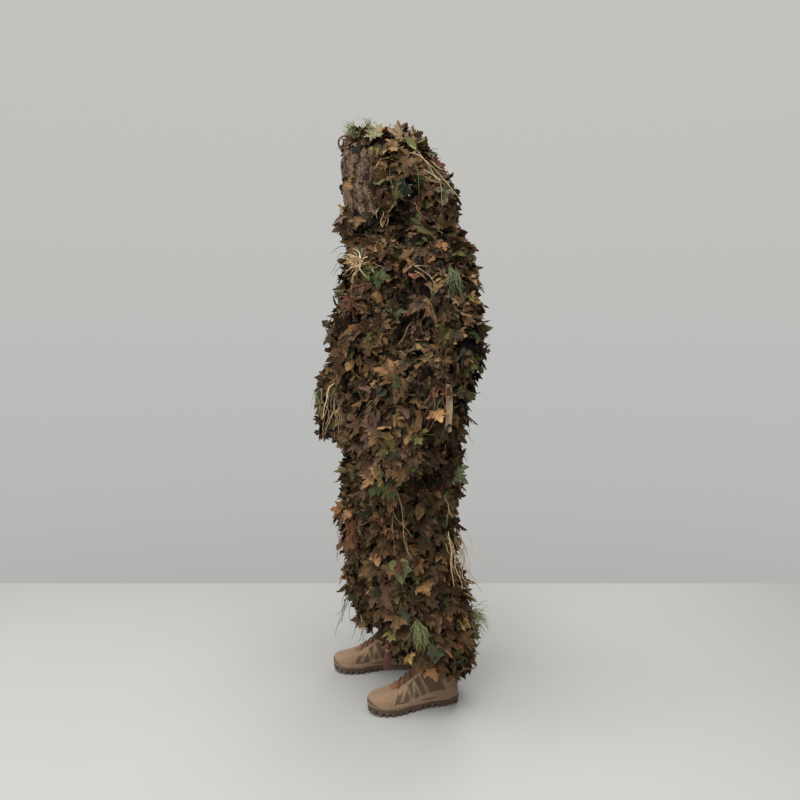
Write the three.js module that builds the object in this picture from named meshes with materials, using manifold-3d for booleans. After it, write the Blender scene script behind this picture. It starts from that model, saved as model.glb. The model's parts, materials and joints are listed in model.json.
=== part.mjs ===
// Ghillie suit in its worn shape: hooded jacket, trousers and boots, hollow and empty.
// Millimetres, +Z up, the wearer's front is -Y and the wearer's left is +X.
// Every cloth part is a thin shell. Every leaf cover is the layer of leaves, raffia and
// moss that is sewn on that shell. Limbs are cut in a V at their hinge, and the lower
// piece's cloth ends in a dome that turns inside the upper piece.

import * as THREE from 'three';
import { mergeVertices } from 'three/addons/utils/BufferGeometryUtils.js';
import Module from 'manifold-3d';

const wasm = await Module();
wasm.setup();

// ---- driving dimensions -------------------------------------------------------------

const CLOTH = 4; // thickness of base cloth with its seams
const GAP = 0.6; // play between pieces that lie against each other
const SEGMENTS = 16; // facets around a limb or the body

const HIP_Z = 925;
const HIP_X = 100;
const SHOULDER = { x: 220, y: 60, z: 1410 };
const NECK_Z = 1486; // top edge of the jacket
const BROW_Z = 1780; // underside of the hood's brim

// joints of each leg and arm, given for the wearer's left (+1) and right (-1)
const LEGS = {
  left: { side: 1, knee: [118, -5, 500], ankle: [130, 85, 95] },
  right: { side: -1, knee: [-118, -45, 505], ankle: [-130, 20, 95] },
};
const ARMS = {
  left: { side: 1, elbow: [285, 80, 1140], wrist: [335, -105, 905] },
  right: { side: -1, elbow: [-285, 40, 1135], wrist: [-335, -180, 930] },
};

// degrees that each joint bends beyond its rest pose
const HIP_SWING = { forward: 40, back: 12 };
const KNEE_SWING = { bend: 60 };
const ELBOW_SWING = { bend: 55 };
const ANKLE_SWING = 15;

// dome radii, at which one cloth tube turns inside the next
const HIP_DOME = 74;
const KNEE_DOME = 76;
const ELBOW_DOME = 58;
const SHOULDER_DOME = 72;

const DOME_PLAY = 2.5; // clearance of a dome in the tube around it

// ---- colours ------------------------------------------------------------------------

function material(color, roughness = 0.9, metalness = 0) {
  return new THREE.MeshStandardMaterial({ color, roughness, metalness });
}

const OLIVE_CLOTH = material(0x4b4a36);
const LEAF_COVER = material(0x5f5138);
const BARK = material(0x4f3c2c);
const RAFFIA = material(0xc6ac84);
const VINE = material(0x7c3626);
const MOSS = material(0xa3a67a);
const ELASTIC = material(0x2f2d28, 0.8);
const TAPE = material(0x3a382c);
const BRASS = material(0x8a6a32, 0.35, 1);
const SUEDE = material(0x96785a);
const DARK_SUEDE = material(0x6f543f);
const RUBBER = material(0x3c2c22, 0.85);
const LACE = material(0xb58b5c);
const FOAM = material(0x5f4b3c);

// ---- solids -------------------------------------------------------------------------

const suit = new THREE.Group();

function toSolid(geometry) {
  const bare = geometry.index ? geometry.clone() : geometry;
  bare.deleteAttribute('normal');
  bare.deleteAttribute('uv');
  const merged = mergeVertices(bare, 1e-4);
  return new wasm.Manifold(new wasm.Mesh({
    numProp: 3,
    vertProperties: merged.attributes.position.array,
    triVerts: new Uint32Array(merged.index.array),
  }));
}

function toGeometry(solid) {
  const { vertProperties, triVerts } = solid.getMesh();
  const geometry = new THREE.BufferGeometry();
  geometry.setAttribute('position', new THREE.BufferAttribute(new Float32Array(vertProperties), 3));
  geometry.setIndex(new THREE.BufferAttribute(new Uint32Array(triVerts), 1));
  return geometry;
}

function add(parent, name, solid, look) {
  const mesh = new THREE.Mesh(toGeometry(solid), look);
  mesh.name = name;
  parent.add(mesh);
  return mesh;
}

// A closed skin over a stack of oval rings. A ring is { z, a, b, x, y }: its height, its
// half widths along x and y, and its centre. power 2 is an ellipse, more is boxier.
function loft(rings, { segments = SEGMENTS, power = 2 } = {}) {
  const points = [];
  const faces = [];
  for (const { z, a, b, x = 0, y = 0 } of rings) {
    for (let i = 0; i < segments; i += 1) {
      const angle = (2 * Math.PI * (i + 0.5)) / segments;
      const cos = Math.cos(angle);
      const sin = Math.sin(angle);
      points.push(
        x + a * Math.sign(cos) * Math.abs(cos) ** (2 / power),
        y + b * Math.sign(sin) * Math.abs(sin) ** (2 / power),
        z,
      );
    }
  }
  const last = (rings.length - 1) * segments;
  const upward = rings[rings.length - 1].z > rings[0].z;
  const push = (p, q, r) => faces.push(...(upward ? [p, q, r] : [p, r, q]));
  for (let k = 0; k < last; k += segments) {
    for (let i = 0; i < segments; i += 1) {
      const j = (i + 1) % segments;
      push(k + i, k + j, k + segments + j);
      push(k + i, k + segments + j, k + segments + i);
    }
  }
  for (let i = 1; i < segments - 1; i += 1) {
    push(0, i + 1, i);
    push(last, last + i, last + i + 1);
  }
  const geometry = new THREE.BufferGeometry();
  geometry.setAttribute('position', new THREE.Float32BufferAttribute(points, 3));
  geometry.setIndex(faces);
  return toSolid(geometry);
}

function inset(rings, distance) {
  return rings.map((ring) => ({ ...ring, a: ring.a - distance, b: ring.b - distance }));
}

// The same stack with its two end rings moved out along z, to cut right through.
function runThrough(rings, distance = 2) {
  const sign = Math.sign(rings[rings.length - 1].z - rings[0].z);
  return rings.map((ring, i) => {
    const end = i === 0 ? -1 : Number(i === rings.length - 1);
    return { ...ring, z: ring.z + end * sign * distance };
  });
}

// An open tube with a wall that lies inside the rings given.
function tube(rings, wall, options) {
  return loft(rings, options).subtract(loft(runThrough(inset(rings, wall)), options));
}

function box(from, to) {
  const size = to.map((value, i) => value - from[i]);
  const geometry = new THREE.BoxGeometry(...size);
  geometry.translate(...from.map((value, i) => value + size[i] / 2));
  return toSolid(geometry);
}

function prism(outline, axisLength) {
  const shape = new THREE.Shape(outline.map(([y, z]) => new THREE.Vector2(y, z)));
  const geometry = new THREE.ExtrudeGeometry(shape, { depth: axisLength, bevelEnabled: false });
  geometry.translate(0, 0, -axisLength / 2);
  // the outline's two axes become y and z, and the extrusion runs along x
  geometry.applyMatrix4(new THREE.Matrix4().makeBasis(
    new THREE.Vector3(0, 1, 0),
    new THREE.Vector3(0, 0, 1),
    new THREE.Vector3(1, 0, 0),
  ));
  return toSolid(geometry);
}

function disc(radius, length, segments = 24) {
  const geometry = new THREE.CylinderGeometry(radius, radius, length, segments);
  geometry.rotateZ(Math.PI / 2);
  return toSolid(geometry);
}

// What a piece gives up at a hinge that lies along x through the origin. keep is +1 for
// the piece above the hinge and -1 for the one below. The cut rises by `front` degrees
// toward -y and by `back` degrees toward +y.
function hingeCut(keep, { front = 0, back = 0, clearance = 4, reach = 420 }) {
  const rise = (degrees) => Math.tan(THREE.MathUtils.degToRad(degrees)) * reach;
  return prism([
    [-reach, -keep * reach * 2],
    [reach, -keep * reach * 2],
    [reach, keep * (clearance + rise(back))],
    [0, keep * clearance],
    [-reach, keep * (clearance + rise(front))],
  ], 3 * reach);
}

// The ball-shaped end of a limb's cloth, around the origin. One bore opens it down the
// limb, and another, `bend` degrees toward -y from straight up, lets the upper piece in.
function dome(radius, mouth, bend = 0) {
  const ball = (r) => toSolid(new THREE.SphereGeometry(r, 14, 6));
  const bore = (r, turn) => {
    const geometry = new THREE.CylinderGeometry(r, r, 2 * radius, 12);
    geometry.translate(0, radius, 0);
    geometry.rotateX(THREE.MathUtils.degToRad(90 + turn));
    return toSolid(geometry);
  };
  return ball(radius).subtract(ball(radius - CLOTH))
    .subtract(bore(0.97 * radius, 180))
    .subtract(bore(mouth, bend));
}

// A frame whose z runs up the limb from its lower joint to its upper one, and whose x is
// the hinge that the limb bends on.
function limbFrame(upper, lower, hinge) {
  const up = upper.clone().sub(lower).normalize();
  const across = hinge.clone();
  const back = new THREE.Vector3().crossVectors(up, across);
  return new THREE.Matrix4().makeBasis(across, back, up);
}

function limb(upper, lower, hinge) {
  const group = new THREE.Group();
  group.position.copy(upper);
  group.quaternion.setFromRotationMatrix(limbFrame(upper, lower, hinge));
  suit.add(group);
  return group;
}

const vector = (list) => new THREE.Vector3(...list);

function bendAngle(upper, middle, lower) {
  const first = middle.clone().sub(upper);
  const second = lower.clone().sub(middle);
  return THREE.MathUtils.radToDeg(first.angleTo(second));
}

// The axis, as nearly along +x as it can be, that is square to both halves of a limb.
function hingeAxis(upper, middle, lower) {
  const first = middle.clone().sub(upper);
  const second = lower.clone().sub(middle);
  const axis = new THREE.Vector3().crossVectors(first, second).normalize();
  return axis.x < 0 ? axis.negate() : axis;
}

// ---- jacket body --------------------------------------------------------------------

const COVER = 28; // depth of the leaf cover on the body
const ZIP_SLOT = 20; // half width of the bare strip that the zip runs in
const SIDE_SEAM_Y = 30;

// Outer face of the jacket's leaf cover. Its front is straight down to the hem.
const BODY = [
  { z: 880, front: -183, rear: 172, a: 234 },
  { z: 1060, front: -183, rear: 176, a: 200 },
  { z: 1200, front: -183, rear: 188, a: 176 },
  { z: 1320, front: -183, rear: 192, a: 156 },
  { z: 1410, front: -183, rear: 184, a: 136 },
  { z: NECK_Z, front: -128, rear: 138, a: 112 },
].map(({ z, front, rear, a }) => ({ z, a, b: (rear - front) / 2, y: (rear + front) / 2 }));

const WAIST_CUT = { front: 20, back: 7 };

function bodyCuts(solid) {
  const hips = hingeCut(1, WAIST_CUT).translate([0, 0, HIP_Z]);
  const armholes = disc(62, 2 * SHOULDER.x).translate([0, SHOULDER.y, SHOULDER.z]);
  // the upper back falls away below the hood's hinge
  const nape = prism([[96, NECK_Z + 1], [260, 1370], [260, 1600], [96, 1600]], 600);
  return solid.subtract(hips).subtract(armholes).subtract(nape);
}

function addJacket() {
  const coverRings = BODY;
  const clothRings = inset(BODY, COVER + GAP);
  const far = 600;
  const base = bodyCuts(tube(clothRings, CLOTH));
  const cover = bodyCuts(tube(coverRings, COVER));
  const behind = box([-far, SIDE_SEAM_Y, 0], [far, far, 2000]);
  const ahead = (side, edge) => (side > 0
    ? box([edge, -far, 0], [far, SIDE_SEAM_Y - GAP, 2000])
    : box([-far, -far, 0], [-edge, SIDE_SEAM_Y - GAP, 2000]));
  add(suit, 'jacket_back', base.intersect(behind), OLIVE_CLOTH);
  add(suit, 'leaf_cover_back', cover.intersect(behind), LEAF_COVER);
  for (const [name, side] of [['left', 1], ['right', -1]]) {
    add(suit, `jacket_front_${name}`, base.intersect(ahead(side, 1)), OLIVE_CLOTH);
    add(suit, `leaf_cover_front_${name}`, cover.intersect(ahead(side, ZIP_SLOT)), LEAF_COVER);
  }
}

// ---- front zip ----------------------------------------------------------------------

const ZIP = {
  face: BODY[1].y - BODY[1].b + COVER - 4, // y of the tapes' outer face
  bottom: 1010,
  top: 1425,
  tape: 1.6,
  width: 15,
  teethPitch: 16,
};

function addZip() {
  const { face, bottom, top, tape, width, teethPitch } = ZIP;
  for (const [name, side] of [['left', 1], ['right', -1]]) {
    // each tape's teeth sit in the other's gaps
    const first = bottom + 16 + (side > 0 ? 0 : teethPitch / 2);
    const outline = [[width, bottom], [width, top], [3, top]];
    for (let z = top - teethPitch; z > first; z -= teethPitch) {
      outline.push([3, z + 3], [0.4, z + 3], [0.4, z], [3, z]);
    }
    outline.push([3, bottom]);
    const shape = new THREE.Shape(outline.map(([x, z]) => new THREE.Vector2(side * x, z)));
    const geometry = new THREE.ExtrudeGeometry(shape, { depth: tape, bevelEnabled: false });
    geometry.rotateX(Math.PI / 2);
    geometry.translate(0, face + tape, 0);
    add(suit, `zipper_tape_${name}`, toSolid(geometry), TAPE);
  }
  const retainer = box([-6, face - 2.6, bottom - 14], [6, face + tape + 1, bottom - GAP]);
  add(suit, 'zipper_retainer', retainer, BRASS);

  const slider = new THREE.Group();
  slider.position.set(0, face - 1.6, top - 22);
  suit.add(slider);
  const plate = prism([[-3, 0], [0, 0], [0, 18], [-3, 18]], 11);
  const bridge = prism([[-8, 4], [-3, 4], [-3, 14], [-8, 14]], 3);
  const eye = disc(1.6, 10, 12).translate([0, -5.5, 9]);
  add(slider, 'zipper_slider', plate.add(bridge).subtract(eye), BRASS);

  // the pull's pin passes through the bridge's eye, and its two arms carry the tab
  const pull = new THREE.Group();
  pull.position.set(0, -5.5, 9);
  slider.add(pull);
  const pin = disc(1.1, 8, 12);
  const arms = box([-4.6, -1.1, -12], [-2.4, 1.1, 1.1]).add(box([2.4, -1.1, -12], [4.6, 1.1, 1.1]));
  const tab = box([-4.6, -1.1, -36], [4.6, 1.1, -11]);
  add(pull, 'zipper_pull', pin.add(arms).add(tab), BRASS);
}

// ---- trousers seat ------------------------------------------------------------------

const SEAT = [
  { z: 880, a: 181, b: 92 },
  { z: 940, a: 181, b: 94 },
  { z: 985, a: 168, b: 96 },
  { z: 1060, a: 146, b: 100, y: -4 },
];

function addSeat() {
  const hips = hingeCut(1, WAIST_CUT).translate([0, 0, HIP_Z]);
  add(suit, 'trousers_seat', tube(SEAT, CLOTH, { power: 2.6 }).subtract(hips), OLIVE_CLOTH);
  const band = [
    { z: SEAT[3].z + GAP, a: 146, b: 100, y: -4 },
    { z: SEAT[3].z + 38, a: 140, b: 98, y: -4 },
  ];
  add(suit, 'waist_elastic', tube(band, CLOTH, { power: 2.6 }), ELASTIC);
}

// ---- legs ---------------------------------------------------------------------------

function addLeg(name, { side, knee, ankle }) {
  const hipPoint = new THREE.Vector3(side * HIP_X, 0, HIP_Z);
  const kneePoint = vector(knee);
  const anklePoint = vector(ankle);
  const hinge = hingeAxis(hipPoint, kneePoint, anklePoint);
  const kneeRest = bendAngle(hipPoint, kneePoint, anklePoint);
  const kneeCut = { back: (kneeRest + KNEE_SWING.bend) / 2 + 1 };

  const thighLength = hipPoint.distanceTo(kneePoint);
  const lean = THREE.MathUtils.radToDeg(Math.atan2(-(kneePoint.y - hipPoint.y), HIP_Z - kneePoint.z));
  const hipCut = {
    front: lean + HIP_SWING.forward - WAIST_CUT.front + 1,
    back: Math.max(0, HIP_SWING.back - lean - WAIST_CUT.back) + 1,
  };
  const thigh = limb(hipPoint, kneePoint, hinge);
  const kneeTube = KNEE_DOME + DOME_PLAY + CLOTH;
  const thighCloth = [
    { z: 30, a: HIP_DOME + 2, b: HIP_DOME + 2 },
    { z: -60, a: HIP_DOME + 2, b: HIP_DOME + 2 },
    { z: -thighLength + 80, a: kneeTube, b: kneeTube },
    { z: -thighLength - 40, a: kneeTube, b: kneeTube },
  ];
  // the cover is wider outward than inward, where the other leg is
  const out = side * 10;
  const thighCover = [
    { z: 30, a: 105, b: 152, x: out },
    { z: -120, a: 106, b: 158, x: out },
    { z: -300, a: 108, b: 150, x: out },
    { z: -thighLength - 40, a: 108, b: 146, x: out },
  ];
  const topCut = hingeCut(-1, hipCut);
  const bottomCut = hingeCut(1, kneeCut).translate([0, 0, -thighLength]);
  const trim = (solid) => solid.subtract(topCut).subtract(bottomCut);
  const inside = (rings) => loft(runThrough(inset(rings, -GAP), 20));
  add(
    thigh,
    `thigh_${name}`,
    trim(tube(thighCloth, CLOTH)).add(dome(HIP_DOME, 0.62 * HIP_DOME)),
    OLIVE_CLOTH,
  );
  add(
    thigh,
    `thigh_leaf_cover_${name}`,
    trim(loft(thighCover).subtract(inside(thighCloth))),
    LEAF_COVER,
  );

  const shinLength = kneePoint.distanceTo(anklePoint);
  const shin = limb(kneePoint, anklePoint, hinge);
  const shinCloth = [
    { z: 30, a: KNEE_DOME + 2, b: KNEE_DOME + 2 },
    { z: -60, a: KNEE_DOME + 2, b: KNEE_DOME + 2 },
    { z: -250, a: 92, b: 96 },
    { z: -shinLength - 40, a: 90, b: 96, y: -4 },
  ];
  const shinCover = [
    { z: 30, a: 108, b: 146, x: out },
    { z: -120, a: 110, b: 152, x: out },
    { z: -280, a: 112, b: 156, x: out },
    { z: -shinLength - 40, a: 112, b: 150, x: out, y: -6 },
  ];
  const shinTop = hingeCut(-1, kneeCut);
  const slope = THREE.MathUtils.radToDeg(
    Math.atan2(anklePoint.y - kneePoint.y, kneePoint.z - anklePoint.z),
  );
  const ankleCut = { front: slope + 20, back: Math.max(0, 14 - slope), clearance: 2 };
  const shinBottom = hingeCut(1, ankleCut).translate([0, 0, -shinLength]);
  const trimShin = (solid) => solid.subtract(shinTop).subtract(shinBottom);
  add(
    shin,
    `shin_${name}`,
    trimShin(tube(shinCloth, CLOTH)).add(dome(KNEE_DOME, 0.7 * KNEE_DOME, -kneeRest)),
    OLIVE_CLOTH,
  );
  add(
    shin,
    `shin_leaf_cover_${name}`,
    trimShin(loft(shinCover).subtract(inside(shinCloth))),
    LEAF_COVER,
  );
  // the elastic sits inside the hem, above the cut that clears the boot
  const hem = -shinLength + 72;
  const ankleElastic = [
    { z: hem + 24, a: 84, b: 88, y: -4 },
    { z: hem, a: 84, b: 88, y: -4 },
  ];
  add(shin, `ankle_elastic_${name}`, tube(ankleElastic, 3), ELASTIC);
  return anklePoint;
}

// ---- arms ---------------------------------------------------------------------------

function addArm(name, { side, elbow, wrist }) {
  const shoulderPoint = new THREE.Vector3(side * SHOULDER.x, SHOULDER.y, SHOULDER.z);
  const elbowPoint = vector(elbow);
  const wristPoint = vector(wrist);
  const hinge = hingeAxis(shoulderPoint, elbowPoint, wristPoint);
  const elbowRest = bendAngle(shoulderPoint, elbowPoint, wristPoint);
  const elbowCut = { front: (elbowRest + ELBOW_SWING.bend) / 2 + 1 };

  const upperLength = shoulderPoint.distanceTo(elbowPoint);
  const upper = limb(shoulderPoint, elbowPoint, hinge);
  upper.updateMatrixWorld(true);
  const elbowTube = ELBOW_DOME + DOME_PLAY + CLOTH;
  const cap = (radiusA, radiusB, height, steps = 3) => {
    const rings = [];
    for (let i = 0; i < steps; i += 1) {
      const angle = (Math.PI / 2) * (1 - i / steps) - 0.06;
      rings.push({ z: height * Math.sin(angle), a: radiusA * Math.cos(angle), b: radiusB * Math.cos(angle) });
    }
    return rings;
  };
  const upperCloth = [
    ...cap(SHOULDER_DOME, SHOULDER_DOME + 14, SHOULDER_DOME),
    { z: 0, a: SHOULDER_DOME, b: SHOULDER_DOME + 14 },
    { z: -upperLength + 70, a: elbowTube, b: elbowTube },
    { z: -upperLength - 40, a: elbowTube, b: elbowTube },
  ];
  const upperCover = [
    ...cap(82, 108, 98),
    { z: 0, a: 82, b: 108 },
    { z: -150, a: 84, b: 112 },
    { z: -upperLength - 40, a: 86, b: 108 },
  ];
  const bottomCut = hingeCut(1, elbowCut).translate([0, 0, -upperLength]);
  // the sleeve head is flat where it meets the body, with the armhole through it
  const bodySide = box([-400, -500, 600], [SHOULDER.x - 80, 500, 1800])
    .add(disc(58, SHOULDER.x).translate([SHOULDER.x / 2, SHOULDER.y, SHOULDER.z]));
  const away = (side > 0 ? bodySide : bodySide.mirror([1, 0, 0]))
    .transform([...upper.matrixWorld.clone().invert().elements]);
  const trim = (solid) => solid.subtract(bottomCut).subtract(away);
  const hollow = (rings) => inset(rings, CLOTH).map((ring, i, all) => ({
    ...ring,
    z: i === all.length - 1 ? ring.z - 2 : ring.z - (ring.z > 0 ? CLOTH : 0),
  }));
  const pocket = upperCloth.filter((ring) => ring.a > CLOTH + 8);
  const cover = loft(upperCover).subtract(loft(runThrough(inset(upperCloth, -GAP), 4)));
  add(
    upper,
    `upper_sleeve_${name}`,
    trim(loft(upperCloth).subtract(loft(hollow(pocket)))),
    OLIVE_CLOTH,
  );
  add(upper, `upper_sleeve_leaf_cover_${name}`, trim(cover), LEAF_COVER);

  const lowerLength = elbowPoint.distanceTo(wristPoint);
  const lower = limb(elbowPoint, wristPoint, hinge);
  const lowerCloth = [
    { z: 30, a: ELBOW_DOME + 2, b: ELBOW_DOME + 2 },
    { z: -60, a: ELBOW_DOME + 2, b: ELBOW_DOME + 2 },
    { z: -lowerLength + 20, a: 56, b: 58 },
  ];
  const lowerCover = [
    { z: 30, a: 86, b: 106 },
    { z: -140, a: 84, b: 104 },
    { z: -lowerLength, a: 78, b: 88 },
  ];
  const lowerTop = hingeCut(-1, elbowCut);
  const wristSide = loft(runThrough(inset(lowerCloth, -GAP), 40));
  add(
    lower,
    `lower_sleeve_${name}`,
    tube(lowerCloth, CLOTH).subtract(lowerTop).add(dome(ELBOW_DOME, 0.76 * ELBOW_DOME, elbowRest)),
    OLIVE_CLOTH,
  );
  add(
    lower,
    `lower_sleeve_leaf_cover_${name}`,
    loft(lowerCover).subtract(lowerTop).subtract(wristSide),
    LEAF_COVER,
  );
  const cuff = [
    { z: -lowerLength + 20 - GAP, a: 56, b: 58 },
    { z: -lowerLength - 12, a: 50, b: 52 },
  ];
  add(lower, `cuff_elastic_${name}`, tube(cuff, 3), ELASTIC);
}

// ---- garnish that stands clear of the leaf covers -----------------------------------

function ellipsoid(radii, centre = [0, 0, 0]) {
  const geometry = new THREE.SphereGeometry(1, 10, 6);
  geometry.scale(...radii);
  geometry.translate(...centre);
  return toSolid(geometry);
}

function addGarnish() {
  const top = HOOD[HOOD.length - 1];
  const tuft = [
    { z: top.z + GAP, a: 26, b: 30, y: top.y },
    { z: top.z + 14, a: 7, b: 9, y: top.y },
  ];
  add(suit, 'moss_tuft', loft(tuft, { segments: 10 }), MOSS);

  const loop = new THREE.TorusGeometry(26, 4, 6, 16);
  loop.rotateY(Math.PI / 2);
  loop.scale(1, 0.8, 1.35);
  loop.translate(92, -186, 1800);
  add(suit, 'vine_loop', toSolid(loop), VINE);

  const bow = new THREE.Group();
  bow.position.set(78, -170, 1412);
  bow.rotation.z = THREE.MathUtils.degToRad(34);
  suit.add(bow);
  const knot = ellipsoid([13, 9, 13])
    .add(ellipsoid([26, 7, 13], [-28, 0, 3]))
    .add(ellipsoid([26, 7, 13], [28, 0, 3]))
    .add(ellipsoid([6, 5, 30], [-6, 0, -30]));
  add(bow, 'raffia_bow', knot, RAFFIA);

  const strip = box([388, 30, 925], [391, 52, 1053]);
  add(suit, 'bark_strip', strip, RAFFIA);

  const tassel = new THREE.Group();
  tassel.position.set(200, -92, 200);
  suit.add(tassel);
  const skirt = loft([
    { z: -42, a: 13, b: 13 },
    { z: 22, a: 8, b: 8 },
    { z: 26, a: 11, b: 11 },
    { z: 42, a: 5, b: 5 },
  ], { segments: 10 });
  add(tassel, 'jute_tassel', skirt, VINE);
}

// ---- hood and face veil -------------------------------------------------------------

const HOOD_HINGE = { y: 140, z: 1484 };
const VEIL_HINGE = { y: -206, z: BROW_Z - 8 };
const FACE_Y = -28; // front edge of the hood's sides

const HOOD = [
  { z: NECK_Z + 5, front: -96, rear: 140, a: 108 },
  { z: 1560, front: -170, rear: 160, a: 126 },
  { z: 1640, front: -208, rear: 164, a: 134 },
  { z: 1720, front: -216, rear: 138, a: 134 },
  { z: 1790, front: -216, rear: 98, a: 118 },
  { z: 1826, front: -170, rear: 62, a: 84 },
  { z: 1846, front: -108, rear: 16, a: 44 },
].map(({ z, front, rear, a }) => ({ z, a, b: (rear - front) / 2, y: (rear + front) / 2 }));

function addHood() {
  const cover = 26;
  const face = box([-300, -400, 1300], [300, FACE_Y, BROW_Z]);
  const lower = (rings, drop) => rings.map((ring) => ({ ...ring, z: Math.min(ring.z, 1846 - drop) }))
    .filter((ring, i, all) => i === 0 || ring.z > all[i - 1].z);
  const clothOuter = lower(inset(HOOD, cover + GAP), cover + GAP);
  const clothInner = lower(inset(HOOD, cover + GAP + CLOTH), cover + GAP + CLOTH);
  const start = (rings) => rings.map((ring, i) => (i === 0 ? { ...ring, z: ring.z - 5 } : ring));
  const shell = loft(clothOuter).subtract(loft(start(clothInner))).subtract(face);
  const outer = loft(HOOD).subtract(loft(start(lower(inset(HOOD, cover), cover)))).subtract(face);
  add(suit, 'hood_shell', shell, OLIVE_CLOTH);
  add(suit, 'hood_leaf_cover', outer, LEAF_COVER);
}

function addVeil() {
  const rim = [
    { z: NECK_Z + 12, a: 100, b: 172, y: FACE_Y - 4 },
    { z: 1620, a: 114, b: 182, y: FACE_Y - 4 },
    { z: BROW_Z - 14, a: 104, b: 180, y: FACE_Y - 4 },
  ];
  const rearHalf = box([-300, FACE_Y - 4, 1300], [300, 400, 2000]);
  // its lower edge is an arc about its hinge, so it clears the jacket as it lifts
  const swing = disc(VEIL_HINGE.z - rim[0].z, 400, 48).translate([0, VEIL_HINGE.y, VEIL_HINGE.z]);
  add(suit, 'face_veil', tube(rim, 7).subtract(rearHalf).intersect(swing), BARK);
}

// ---- boots --------------------------------------------------------------------------

const BOOT = {
  length: 290,
  heelBehindAnkle: 68,
  toeOut: 5,
  outsole: 16,
  lug: 7,
  midsole: 14,
};

function solePoints(offset) {
  // half widths of the sole, from the heel (0) to the toe (1), outer side and inner side
  const stations = [
    [0.0, 10, 10],
    [0.03, 30, 30],
    [0.14, 39, 38],
    [0.32, 36, 33],
    [0.5, 42, 36],
    [0.7, 53, 49],
    [0.84, 49, 47],
    [0.95, 31, 34],
    [1.0, 10, 14],
  ];
  const along = (t) => -t * BOOT.length - offset * (1 - 2 * t);
  const outer = stations.map(([t, w]) => new THREE.Vector2(w - offset, along(t)));
  const inner = stations.map(([t, , w]) => new THREE.Vector2(-w + offset, along(t))).reverse();
  return new THREE.SplineCurve([...outer, ...inner, outer[0]]).getPoints(36).slice(0, -1);
}

function soleSlab(offset, from, to) {
  const shape = new THREE.Shape(solePoints(offset));
  const geometry = new THREE.ExtrudeGeometry(shape, { depth: to - from, bevelEnabled: false });
  geometry.translate(0, 0, from);
  return toSolid(geometry);
}

const UPPER = [
  { z: BOOT.outsole + BOOT.midsole + GAP, a: 50, b: 141, y: -145 },
  { z: 52, a: 50, b: 138, y: -143 },
  { z: 70, a: 46, b: 126, y: -133 },
  { z: 86, a: 42, b: 100, y: -108 },
  { z: 104, a: 39, b: 76, y: -86 },
  { z: 130, a: 38, b: 58, y: -69 },
  { z: 150, a: 40, b: 55, y: -67 },
];

// How far forward the boot's upper reaches at a height.
function instepAt(z) {
  const above = UPPER.findIndex((ring) => ring.z > z);
  const [low, high] = [UPPER[above - 1], UPPER[above]];
  return THREE.MathUtils.mapLinear(z, low.z, high.z, low.y - low.b, high.y - high.b);
}

function addBoot(name, side, anklePoint) {
  const boot = new THREE.Group();
  boot.position.set(anklePoint.x, anklePoint.y + BOOT.heelBehindAnkle, 0);
  boot.rotation.z = THREE.MathUtils.degToRad(side * BOOT.toeOut);
  suit.add(boot);
  // the shapes below are drawn for a left boot and mirrored for a right one
  const place = (part, solid, look) => {
    add(boot, `${part}_${name}`, side > 0 ? solid : solid.mirror([1, 0, 0]), look);
  };
  const { outsole, lug, midsole, length } = BOOT;

  let tread = soleSlab(0, lug, outsole);
  const pitch = 36;
  for (let y = -12; y > -length; y -= pitch) {
    const row = box([-70, y - pitch * 0.62, 0], [-4, y, lug + 1])
      .add(box([4, y - pitch * 0.62, 0], [70, y, lug + 1]));
    tread = tread.add(soleSlab(2, 0, lug + 1).intersect(row));
  }
  place('outsole', tread, RUBBER);
  place('midsole', soleSlab(2, outsole + GAP, outsole + midsole), FOAM);

  const floor = UPPER[0].z + 3;
  const options = { segments: 16, power: 2.3 };
  const cavity = inset(UPPER, CLOTH).map((ring) => ({ ...ring, z: Math.max(ring.z, floor) }))
    .filter((ring, i, all) => i === all.length - 1 || all[i + 1].z > ring.z);
  const top = cavity[cavity.length - 1];
  const hollow = loft([...cavity, { ...top, z: top.z + 20 }], options);
  const throat = box([-15, -180, 60], [15, -88, 200]);
  place('upper', loft(UPPER, options).subtract(hollow).subtract(throat), SUEDE);

  const tongueOuter = loft([...inset(UPPER, 0.4), { ...UPPER[6], z: 168 }], options);
  const tongueInner = loft([...inset(UPPER, 5.4).map((ring) => ({ ...ring, z: ring.z - 3 })),
    { ...UPPER[6], a: 34, b: 49, z: 175 }], options);
  const slit = box([-14.4, -179.4, 70], [14.4, -88.6, 168]);
  place('tongue', tongueOuter.subtract(tongueInner).intersect(slit), DARK_SUEDE);

  const skin = loft(inset(UPPER, -3.2), options).subtract(loft(runThrough(inset(UPPER, -GAP), 1), options));
  const toe = box([-80, -400, UPPER[0].z], [80, -length + 62, 76]);
  const heel = box([-80, -52, UPPER[0].z], [80, 80, 96]);
  place('toe_cap', skin.intersect(toe), DARK_SUEDE);
  place('heel_counter', skin.intersect(heel), DARK_SUEDE);

  const insole = loft([
    { z: floor + GAP, a: 42, b: 132, y: -145 },
    { z: floor + GAP + 3, a: 42, b: 131, y: -145 },
  ], options);
  place('insole', insole, FOAM);

  // the lace zigzags over the throat, just above the tongue
  const crossings = 5;
  const knots = [];
  for (let i = 0; i < crossings; i += 1) {
    const z = 97 + (34 * i) / (crossings - 1);
    knots.push(new THREE.Vector3((i % 2 ? 1 : -1) * 16, instepAt(z) - 3.4, z + 3.4));
  }
  const round = new THREE.Shape();
  round.absarc(0, 0, 1.8, 0, 2 * Math.PI);
  const lace = new THREE.ExtrudeGeometry(round, {
    steps: 16, curveSegments: 4, extrudePath: new THREE.CatmullRomCurve3(knots),
  });
  place('lace', toSolid(lace), LACE);
}

// ---- the suit -----------------------------------------------------------------------

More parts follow.
